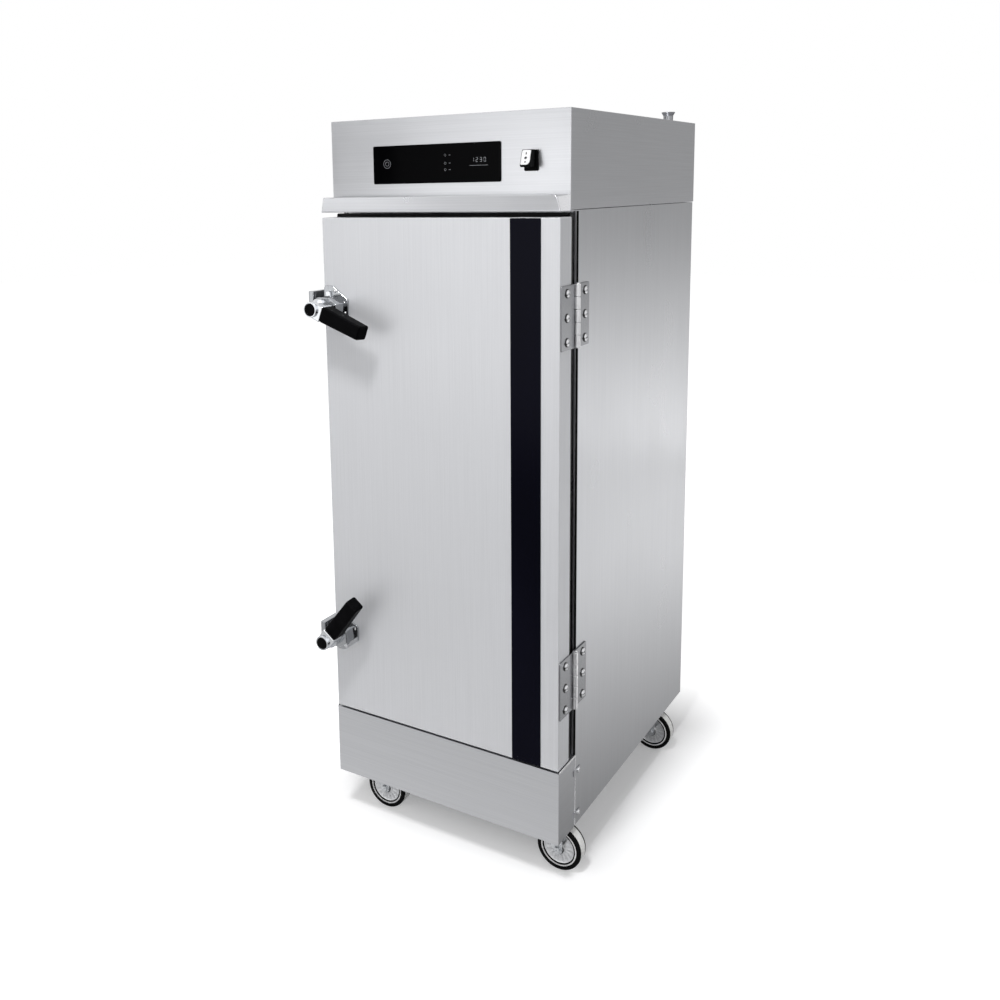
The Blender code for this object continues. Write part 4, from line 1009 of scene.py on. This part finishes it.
def beside_slot(outline):
    """The part of the boss's outline that the tongue's slot leaves: points on the outer side of
    either of the slot's two walls, closed along the walls through the two inner corners."""
    start, end = SLOT_TURNS
    low = np.array([math.sin(start), -math.cos(start)]) * SLOT_MARGIN
    high = np.array([-math.sin(end), math.cos(end)]) * SLOT_MARGIN
    spots = dense(outline)
    past_low = math.cos(start) * (spots[:, 1] - low[1]) - math.sin(start) * (spots[:, 0] - low[0])
    past_high = math.cos(end) * (spots[:, 1] - high[1]) - math.sin(end) * (spots[:, 0] - high[0])
    cut = (past_low > 0) & (past_high < 0)
    first_kept = np.flatnonzero(~cut & np.roll(cut, 1))[0]
    spots, cut = np.roll(spots, -first_kept, 0), np.roll(cut, -first_kept)
    return np.vstack([spots[~cut], [low, high]])


def on_door(outline, hand, height):
    """A latch's outline, measured from its spindle, on the door at that height; the lower latch is
    the upper one turned upside down by hand."""
    return np.array(outline) * [1, hand] + [LATCH_X, height]


plate_lobe = rounded(
    [
        (-0.019, -0.033), (0.01, -0.033), (0.044, -0.02), (0.044, 0.015), (0.004, 0.044),
        (-0.019, 0.044),
    ],
    [0.006, 0.006, 0.006, 0.008, 0.008, 0.006],
)
boss_lobe = rounded(
    [(-0.02, -0.021), (0.036, -0.021), (0.038, 0.009), (0.016, 0.022), (-0.02, 0.022)],
    [0.012, 0.004, 0.003, 0.008, 0.012],
)
PLATE_SCREWS = ((0.033, 0.008), (0.01, 0.033), (0.035, -0.014))
HUB = rounded(
    [
        (0.0, BOSS_FACE - 0.0005), (0.02, BOSS_FACE - 0.0005), (0.0205, -0.098), (0.0175, -0.107),
        (0.0164, HUB_FACE), (0.0139, HUB_FACE), (0.0139, HUB_FACE + 0.0016),
        (0.0, HUB_FACE + 0.0016),
    ],
    [0.0, 0.0008, 0.003, 0.003, 0.0007, 0.0003, 0.0002, 0.0], 5,
)
HUB_CAP = [
    (0.0, HUB_FACE), (0.007, HUB_FACE + 0.0001), (0.012, HUB_FACE + 0.0004),
    (0.0132, HUB_FACE + 0.0008), (0.0136, HUB_FACE + 0.0017), (0.0, HUB_FACE + 0.0017),
]
GRIP_START = 0.0268
GRIP_END = 0.1275
GRIP_MIDDLE = -0.1015
GRIP_DEEP = 0.033
GRIP_WIDE = 0.0345
GRIP_TAPER = np.array([0.17, 0.09])
GRIP_LEAN = 0.003


def grip_rings(height, angle):
    """The grip: a rounded section, smaller towards the tip, at each distance along the lever. The
    tip's rim is a quarter circle, and its face leans with the depth across the section."""
    half_deep, half_wide = GRIP_DEEP / 2, GRIP_WIDE / 2
    section = rounded_box((-half_deep, -half_wide), (half_deep, half_wide), 0.005, 6)
    rings = []
    for distance, inset in round_edges(GRIP_START, GRIP_END, 0.003, 5):
        share = (distance - GRIP_START) / (GRIP_END - GRIP_START)
        spots = drawn_in(section, inset) * (1 - GRIP_TAPER * share)
        along = distance + GRIP_LEAN * share * spots[:, 0] / half_deep
        x = LATCH_X + along * math.cos(angle) - spots[:, 1] * math.sin(angle)
        z = height + along * math.sin(angle) + spots[:, 1] * math.cos(angle)
        rings.append(np.stack([x, GRIP_MIDDLE + spots[:, 0], z], 1))
    return woven(np.array(rings))


grip_moulding = patterned(
    "textured_black_polyamide_grip", "040405", 0.42, 0.0, (0.03, 2.0), tints=("030304", "0a0a0c"),
    gloss=(0.34, 0.52), bump=(0.00008, 0.35, (0.001, 2.0)), specular=0.025,
)
slot_front = TONGUE_FRONT - 0.0008
collar = rounded([(-0.006, -0.0165), (0.0265, -0.018), (0.0265, 0.018), (-0.006, 0.0165)], 0.003)
nose = rounded(
    [(0.0, -0.006), (0.033, -0.0055), (0.033, 0.0055), (0.0, 0.006)], [0.001, 0.004, 0.004, 0.001]
)
spindle_top = BOSS_FACE - 0.001
spindle = rounded(
    [(0.0, spindle_top), (0.0076, spindle_top), (0.0076, TONGUE_BACK), (0.0, TONGUE_BACK)],
    [0.0, 0.0002, 0.0006, 0.0], 3,
)
for place, (height, hand, angle) in LATCH_HUBS.items():
    spot = (LATCH_X, 0, height)
    screws = [
        screw_head((LATCH_X + u, PLATE_FACE, height + w * hand), "-Y", 0.0042, 0.002)
        for u, w in PLATE_SCREWS
    ]
    piece(
        "latch_plate_" + place,
        [
            slab(on_door(plate_lobe, hand, height), PLATE_FACE, DOOR_FRONT - AIR, 0.0012, "XZ"),
            slab(on_door(boss_lobe, hand, height), BOSS_FACE, slot_front, 0.0022, "XZ"),
            slab(
                on_door(beside_slot(boss_lobe), hand, height), slot_front - 0.0025,
                PLATE_FACE + 0.0005, 0.0001, "XZ", 1,
            ),
        ],
        "door", plate_chrome_painted_dark, ["latch_base_" + place],
    )
    piece("latch_plate_screws_" + place, screws, "door", screw_steel)
    arm = turned_flat(collar, angle)
    tongue = turned_flat(nose, angle + hand * TONGUE_LEAD)
    piece(
        "latch_handle_" + place,
        [
            spun(HUB, "Y", spot, 64),
            slab(arm + [LATCH_X, height], -0.119, BOSS_FACE - 0.001, 0.0022, "XZ"),
            spun(spindle, "Y", spot, 40),
            slab(tongue + [LATCH_X, height], TONGUE_FRONT, TONGUE_BACK, 0.0008, "XZ"),
        ],
        "latch_" + place, chrome, ["latch_lever_" + place],
    )
    piece("latch_cap_" + place, [spun(HUB_CAP, "Y", spot, 48)], "latch_" + place, black_moulding)
    piece(
        "latch_handle_grip_" + place, [grip_rings(height, angle)], "latch_" + place, grip_moulding,
        ["latch_grip_" + place],
    )

# The keepers: a chromed bracket bent round the cabinet's front corner, with a nylon roller on a
# riveted pin. The tongue draws in behind the roller and pulls the door on to its seal.
KEEPER_SIDES = (-0.305, -0.2915)
KEEPER_FRONT = -0.0675
KEEPER_HALF = 0.0267
ROLLER_Y = -0.061
roller_nylon = patterned(
    "turned_black_nylon_roller", "0a0a0b", 0.34, 0.0, ((0.0006, 0.004, 0.004), 2.0),
    tints=("070708", "121214"), gloss=(0.28, 0.42), specular=0.12,
)
side_face = -0.28 - AIR
outside, inside = KEEPER_SIDES
keeper_plan = rounded(
    [
        (outside, KEEPER_FRONT), (inside, KEEPER_FRONT), (inside, 0.044), (side_face, 0.044),
        (side_face, 0.104), (side_face - 0.004, 0.104), (side_face - 0.004, 0.058),
        (outside, 0.058),
    ],
    [0.003, 0.003, 0.003, 0.0005, 0.001, 0.002, 0.004, 0.01],
)
pin = rounded(
    [
        (0.0, -0.004), (0.0026, -0.004), (0.0026, 0.0106), (0.0042, 0.0106), (0.0042, 0.0116),
        (0.0, 0.0116),
    ],
    [0.0, 0.0002, 0.0001, 0.0001, 0.0004, 0.0], 3,
)
wheel = rounded(
    [(0.0029, 0.0103), (0.0061, 0.0103), (0.0061, AIR), (0.0029, AIR)],
    [0.0002, 0.0008, 0.0008, 0.0002], 3,
)
for place, (height, hand, _) in LATCH_HUBS.items():
    middle = height + hand * 0.0059
    rest = (inside, ROLLER_Y, height + hand * 0.0113)
    # The bracket takes the plates' darker chrome, which is painted shade.
    piece(
        "keeper_bracket_" + place,
        [
            slab(keeper_plan, middle - KEEPER_HALF, middle + KEEPER_HALF, 0.0012, "XY"),
            spun(pin, "X", rest, 32),
        ],
        "cabinet", plate_chrome_painted_dark, ["keeper_" + place],
    )
    heights = (middle - 0.014, middle + 0.014)
    screws = [screw_head((side_face - 0.004, 0.088, z), "-X", 0.0044, 0.0024) for z in heights]
    piece("keeper_screws_" + place, screws, "cabinet", screw_steel)
    piece(
        "keeper_wheel_" + place, [spun(wheel, "X", rest, 40, closes=True)], "roller_" + place,
        roller_nylon, ["keeper_roller_" + place],
    )

# The castors: a pressed steel fork, zinc plated, hangs from a ball race, and a die-cast wheel
# turns on the bolt through its legs. The tyre is black rubber with a grey non-marking tread. The
# tread and the rim rings are drawn near white and not metallic, partly their own pale colour and
# partly painted light, so that they show bright in the cabinet's shade.
CASTOR_X = 0.223
CASTOR_ROWS = {"front": 0.039, "rear": 0.601}
TRAIL = 0.026
AXLE_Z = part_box("castor_front_left_tyre")[1].z / 2
CHASSIS_LOW = 0.1342
CROWN = 0.1105
zinc_plate = patterned(
    "bright_zinc_plated_steel", "c0c3c6", 0.26, 1.0, (0.006, 3.0), tints=("b2b5b9", "cfd1d3"),
    gloss=(0.22, 0.4), bump=(0.00006, 0.3),
)
die_cast = patterned(
    "lacquered_aluminium_die_casting", "cfd0d2", 0.34, 0.9, (0.0022, 3.0),
    tints=("bdbec0", "dcdddf"), gloss=(0.26, 0.44), bump=(0.0001, 0.4),
)
tyre_rubber = patterned(
    "moulded_black_tyre_rubber", "040405", 0.62, 0.0, (0.01, 3.0), tints=("030304", "09090a"),
    gloss=(0.52, 0.72), bump=(0.00008, 0.3), specular=0.07,
)
# Partly painted light: the tread is drawn near white so that it shows bright in the shade.
tread_painted_light = patterned(
    "grey_tread_rubber_painted_light", "f2f2f0", 0.5, 0.0, ((0.004, 0.01, 0.004), 3.0),
    tints=("ebebe9", "f8f8f6"), gloss=(0.48, 0.66), bump=(0.00008, 0.3),
)
# Partly painted highlight: the rim ring is white and not metallic, so that it shows bright.
rim_painted_highlight = patterned(
    "pale_rim_ring_painted_highlight", "f4f4f4", 0.28, 0.0, (0.004, 2.0), tints=("eeeeee", "fafafa"),
    gloss=(0.22, 0.34), bump=(0.00003, 0.2),
)

MILLIMETRE = 0.001
# The casting's profile in millimetres: its radius, and its height over the wheel's middle plane
WHEEL_PROFILE = [
    (4.4, 17.2), (7.6, 17.2), (8.2, 16.8), (9.6, 14.6), (11.0, 12.8), (13.0, 11.8), (16.0, 11.2),
    (20.0, 10.8), (24.0, 10.8), (28.0, 11.0), (32.0, 11.6), (34.0, 12.2), (35.2, 13.0),
    (35.6, 12.6), (36.6, 9.6), (37.8, 9.6), (38.1, 14.4), (38.6, 15.2), (40.0, 15.4), (40.9, 15.0),
    (41.3, 14.2), (41.3, 0.0),
]
WHEEL_FACETS = 128
WEB_START = 13.0
WEB_END = 35.0
WEB_FADE = 4.0
FLUTES = 16
FLUTE_DEEP = 0.35


def wheel_face(centre, side):
    """One side of the casting on a round grid: its height over the wheel's middle plane follows the
    radius, from hub to dished web, groove and rim, and sixteen flutes run over the web as a small
    cosine wave."""
    radius, height = np.array(WHEEL_PROFILE).T
    turn = np.linspace(0, 2 * math.pi, WHEEL_FACETS + 1)[:-1]
    inner = np.clip((radius - WEB_START) / WEB_FADE, 0, 1)
    on_web = inner * np.clip((WEB_END - radius) / WEB_FADE, 0, 1)
    flute = FLUTE_DEEP * on_web[:, None] * np.cos(FLUTES * turn)[None, :]
    r = MILLIMETRE * radius[:, None] * np.ones(len(turn))
    y = side * MILLIMETRE * (height[:, None] + flute)
    return np.stack([r * np.cos(turn), y, r * np.sin(turn)], -1) + np.array(centre)


def castor_fork(middle):
    """Race, crown, two legs with rounded ends, and the axle bolt with its nut."""
    x, y = middle
    race = rounded(
        [
            (0.0, CHASSIS_LOW - 0.0035), (0.027, CHASSIS_LOW - 0.0035), (0.029, 0.125),
            (0.027, 0.12), (0.019, 0.117), (0.017, 0.1085), (0.0, 0.1085),
        ],
        [0.0, 0.001, 0.002, 0.002, 0.002, 0.001, 0.0], 4,
    )
    top = CROWN - 0.0005
    axle = np.array([x + TRAIL, AXLE_Z])
    turn = np.radians(np.linspace(200, 365, 16))
    round_end = axle + 0.0115 * np.stack([np.cos(turn), np.sin(turn)], 1)
    leg = np.vstack(
        [
            [(x - 0.019, top), (x - 0.019, top - 0.009)], round_end,
            [(x + 0.035, top - 0.006), (x + 0.035, top)],
        ]
    )
    crown = rounded_box((x - 0.02, y - 0.021), (x + 0.036, y + 0.021), 0.006)
    bolt = (axle[0], y, axle[1])
    nut = rounded_box((0.0, 0.0208), (0.0078, 0.0268), 0.0008, 3)
    disc = rounded_box((0.0, 0.0208), (0.0098, 0.0222), 0.0003, 2)
    surfaces = [
        spun(race, "Z", (x, y, 0), 48), slab(crown, CROWN - 0.004, CROWN, 0.001, "XY"),
        spun([(0.0, -0.023), (0.004, -0.023), (0.004, 0.023), (0.0, 0.023)], "Y", bolt, 24),
    ]
    for side in (-1, 1):
        surfaces.append(slab(leg, y + side * 0.0182, y + side * 0.0212, 0.0007, "XZ", 3))
        surfaces.append(spun(nut * [1, side], "Y", bolt, 6))
        surfaces.append(spun(disc * [1, side], "Y", bolt, 32))
    return surfaces


# A black ring behind each fork leg's end paints the shade round it.
leg_shade_ring_section = rounded([(0.0046, 0.018), (0.0132, 0.018), (0.0132, 0.0172), (0.0046, 0.0172)], 0.0002, 2)
rim_ring = rounded_box((0.0382, 0.012), (0.0411, 0.0158), 0.0008, 3)
groove = rounded_box((0.0352, 0.0085), (0.038, 0.0148), 0.0004, 2)
tyre = rounded(
    [
        (0.0412, 0.0152), (0.042, 0.016), (0.0496, 0.016), (AXLE_Z, 0.0125), (AXLE_Z, -0.0125),
        (0.0496, -0.016), (0.042, -0.016), (0.0412, -0.0152),
    ],
    [0.0003, 0.0008, 0.0025, 0.002, 0.002, 0.0025, 0.0008, 0.0003], 4,
)
tread = rounded_box((0.049, -0.0104), (AXLE_Z + 0.0001, 0.0104), 0.0003, 3)
for row, y in CASTOR_ROWS.items():
    for side, word in SIDES:
        name = "castor_" + row + "_" + word
        swivel, roll = name + "_swivel", name + "_roll"
        hub = (side * CASTOR_X + TRAIL, y, AXLE_Z)
        fork = castor_fork((side * CASTOR_X, y))
        piece(name + "_bracket", fork, swivel, zinc_plate, [name + "_fork"])
        leg_shade_ring_parts = [spun(leg_shade_ring_section * [1, way], "Y", hub, 40, closes=True) for way in (-1, 1)]
        piece(name + "_leg_shade_rings", leg_shade_ring_parts, swivel, shade_ring_black)
        faces = np.concatenate([wheel_face(hub, 1), wheel_face(hub, -1)[::-1][1:]])
        casting = woven(faces, rows_close=True)
        piece(name + "_disc", [casting], roll, die_cast, [name + "_wheel"])
        rings = [spun(rim_ring * [1, way], "Y", hub, 96, closes=True) for way in (-1, 1)]
        piece(name + "_rim_rings", rings, roll, rim_painted_highlight)
        sections = (tyre, groove, groove * [1, -1])
        rubber = [spun(section, "Y", hub, 96, closes=True) for section in sections]
        piece(name + "_rubber", rubber, roll, tyre_rubber, [name + "_tyre"])
        band = spun(tread, "Y", hub, 96, closes=True)
        piece(name + "_tread", [band], roll, tread_painted_light)
give(zinc_plate, "base_chassis")

# The vent: a short stub spun from stainless tube, its mouth flared and its foot a flat ring.
VENT = (0.236, 0.657)
VENT_BORE = 0.009
LID = 1.591
vent_wall = rounded(
    [
        (VENT_BORE, LID + 0.0253), (0.016, LID + 0.0253), (0.0155, LID + 0.0228),
        (0.0117, LID + 0.017), (0.0114, LID + 0.0026), (0.02, LID + 0.002), (0.02, LID + AIR),
        (VENT_BORE, LID + AIR),
    ],
    [0.0006, 0.0006, 0.002, 0.006, 0.0012, 0.0006, 0.0002, 0.0002], 5,
)
piece(
    "vent_spigot", [spun(vent_wall, "Z", (*VENT, 0), 64, closes=True)], "cabinet", hinge_steel,
    ["vent_stub"],
)

# The back: a brass drain valve with a plated lever in a blue vinyl sleeve, a brass water inlet
# with its thread, and the nylon gland where the supply cable goes in.
BACK = 0.7203
brass = patterned(
    "turned_brass", "b4975a", 0.26, 1.0, (0.008, 3.0), tints=("96793f", "c2a768"),
    gloss=(0.18, 0.38),
)
DRAIN_X, DRAIN_Z = -0.15, 0.208
DRAIN_BALL = 0.742


def back_nut(place, out, radius, bevel=0.0008):
    """A six-sided nut that stands on the back skin and reaches out to a depth."""
    section = [(0.0, out), (radius, out), (radius, BACK + AIR), (0.0, BACK + AIR)]
    return spun(rounded(section, [0.0, bevel, 0.0004, 0.0], 3), "Y", place, 6)


valve_body = rounded(
    [
        (0.0, 0.765), (0.0125, 0.765), (0.0125, 0.758), (0.015, 0.754), (0.0166, DRAIN_BALL),
        (0.015, 0.731), (0.013, 0.729), (0.013, 0.7275), (0.0, 0.7275),
    ],
    [0.0, 0.0006, 0.0006, 0.002, 0.006, 0.002, 0.0005, 0.0002, 0.0], 5,
)
stem = rounded(
    [(0.0, DRAIN_Z + 0.021), (0.006, DRAIN_Z + 0.021), (0.006, DRAIN_Z), (0.0, DRAIN_Z)],
    [0.0, 0.0006, 0.0, 0.0], 3,
)
piece(
    "drain_valve",
    [
        spun(valve_body, "Y", (DRAIN_X, 0, DRAIN_Z), 48),
        back_nut((DRAIN_X, 0, DRAIN_Z), 0.728, 0.017),
        spun(stem, "Z", (DRAIN_X, DRAIN_BALL, 0), 32),
    ],
    "cabinet", brass, ["drain_valve_body"],
)
lever_plan = rounded(
    [
        (DRAIN_X - 0.008, DRAIN_BALL - 0.008), (DRAIN_X + 0.06, DRAIN_BALL - 0.006),
        (DRAIN_X + 0.06, DRAIN_BALL + 0.006), (DRAIN_X - 0.008, DRAIN_BALL + 0.008),
    ],
    [0.0075, 0.004, 0.004, 0.0075],
)
piece(
    "drain_lever_bar",
    [
        slab(lever_plan, DRAIN_Z + 0.0213, DRAIN_Z + 0.0243, 0.0006, "XY", 3),
        screw_head((DRAIN_X, DRAIN_BALL, DRAIN_Z + 0.0243), "+Z", 0.005, 0.003),
    ],
    "drain_handle", zinc_plate, ["drain_lever"],
)
vinyl = patterned(
    "dipped_blue_vinyl", "1d3f86", 0.35, 0.0, (0.004, 2.0), tints=("193876", "234893"),
    gloss=(0.28, 0.44),
)
sleeve_plan = rounded_box(
    (DRAIN_X + 0.022, DRAIN_BALL - 0.0085), (DRAIN_X + 0.0615, DRAIN_BALL + 0.0085),
    [0.002, 0.006, 0.006, 0.002],
)
piece(
    "drain_lever_sleeve", [slab(sleeve_plan, DRAIN_Z + 0.0205, DRAIN_Z + 0.0253, 0.0022, "XY")],
    "drain_handle", vinyl,
)
INLET = (0.15, 0, 0.253)
thread_y = np.linspace(0.7515, 0.731, 67)
thread_radius = 0.0101 + 0.00045 * np.sin(2 * math.pi * thread_y / 0.0018)
inlet = [(0.0, 0.752), (0.0092, 0.752)]
inlet += list(zip(thread_radius, thread_y))
inlet += [(0.0098, 0.73), (0.0, 0.73)]
union = [spun(inlet, "Y", INLET, 40), back_nut(INLET, 0.73, 0.018)]
piece("water_inlet_union", union, "cabinet", brass, ["water_inlet"])
GLAND = (0.21, 0, 0.333)
gland_dome = rounded(
    [(0.0, 0.75), (0.008, 0.75), (0.012, 0.746), (0.0135, 0.738), (0.0135, 0.73), (0.0, 0.73)],
    [0.0, 0.001, 0.003, 0.003, 0.0006, 0.0], 5,
)
gland = [spun(gland_dome, "Y", GLAND, 40), back_nut(GLAND, 0.731, 0.016, 0.001)]
piece("supply_gland", gland, "cabinet", black_moulding, ["cable_gland"])

# Fasteners: pan-head screws hold the back skin, the head's back plate and lid, and the plinth's
# tabs, each standing on the sheet that it holds.
def screw_row(name, places, out, radius=0.004, height=0.0022):
    """One piece of all the screw heads at these places, facing out."""
    heads = [screw_head(place, out, radius, height) for place in places]
    piece(name, heads, "cabinet", screw_steel)


back_heights = np.linspace(0.13, 1.375, 6)
places = [(side * 0.2715, BACK, z) for side in (-1, 1) for z in back_heights]
places += [(x, BACK, z) for x in (-0.09, 0.09) for z in (0.13, 1.375)]
screw_row("back_skin_screws", places, "+Y")
head_back = 0.727
places = [(x, head_back, z) for x in (-0.262, 0.0, 0.262) for z in (1.416, 1.575)]
screw_row("head_back_screws", places, "+Y")
places = [(x, y, LID) for x in (-0.262, 0.262) for y in (0.02, 0.34)]
places += [(-0.262, 0.707, LID)]
screw_row("head_lid_screws", places, "+Z", 0.0036, 0.0018)
tab_face = 0.2818
for side, out, word in ((1, "+X", "right"), (-1, "-X", "left")):
    places = [(side * tab_face, 0.049, z) for z in (0.131, 0.229)]
    screw_row("plinth_tab_screws_" + word, places, out, 0.0058, 0.0036)

# The plinth's side returns end in a hem, along the top under the door and down the back edge. It
# is drawn twice as wide as the folded sheet, and finished lighter and less metallic than the
# plinth, so that its bright line shows: the brightness is a painted highlight along the edge.
# Painted highlight: the hem is lighter and less metallic than the sheet it is folded from.
hem_painted_highlight = patterned(
    "hem_stainless_painted_highlight", "f0f0f2", 0.25, 0.45, ((0.003, 0.02, 0.02), 2.0),
    tints=("e6e6e8", "fafafb"), gloss=(0.18, 0.32),
)
hem_corners = [
    (DOOR_FRONT + 0.002, 0.264), (0.0354, 0.264), (0.0354, 0.108), (0.0376, 0.108),
    (0.0376, 0.2688), (DOOR_FRONT + 0.002, 0.2688),
]
hem = rounded(hem_corners, [0.0008, 0.0008, 0.0008, 0.0008, 0.003, 0.0008], 3)
for side, word in SIDES:
    run = slab(hem, side * 0.2797, side * 0.2811, 0.0005, "YZ", 3)
    piece("plinth_hem_" + word, [run], "cabinet", hem_painted_highlight)

# Inside the base and the head: the sheathed heating tube, dull from heat, and the control unit's
# plain moulded case.
heater_sheath = patterned(
    "heat_dulled_nickel_sheath", "6c6a66", 0.45, 1.0, (0.01, 3.0), tints=("55524d", "8a8781"),
    gloss=(0.35, 0.6),
)
give(heater_sheath, "heating_element")
control_case = patterned(
    "moulded_grey_control_case", "2b2d31", 0.5, 0.0, (0.0015, 2.0), tints=("25272a", "34363a"),
    gloss=(0.42, 0.58),
)
give(control_case, "control_unit")
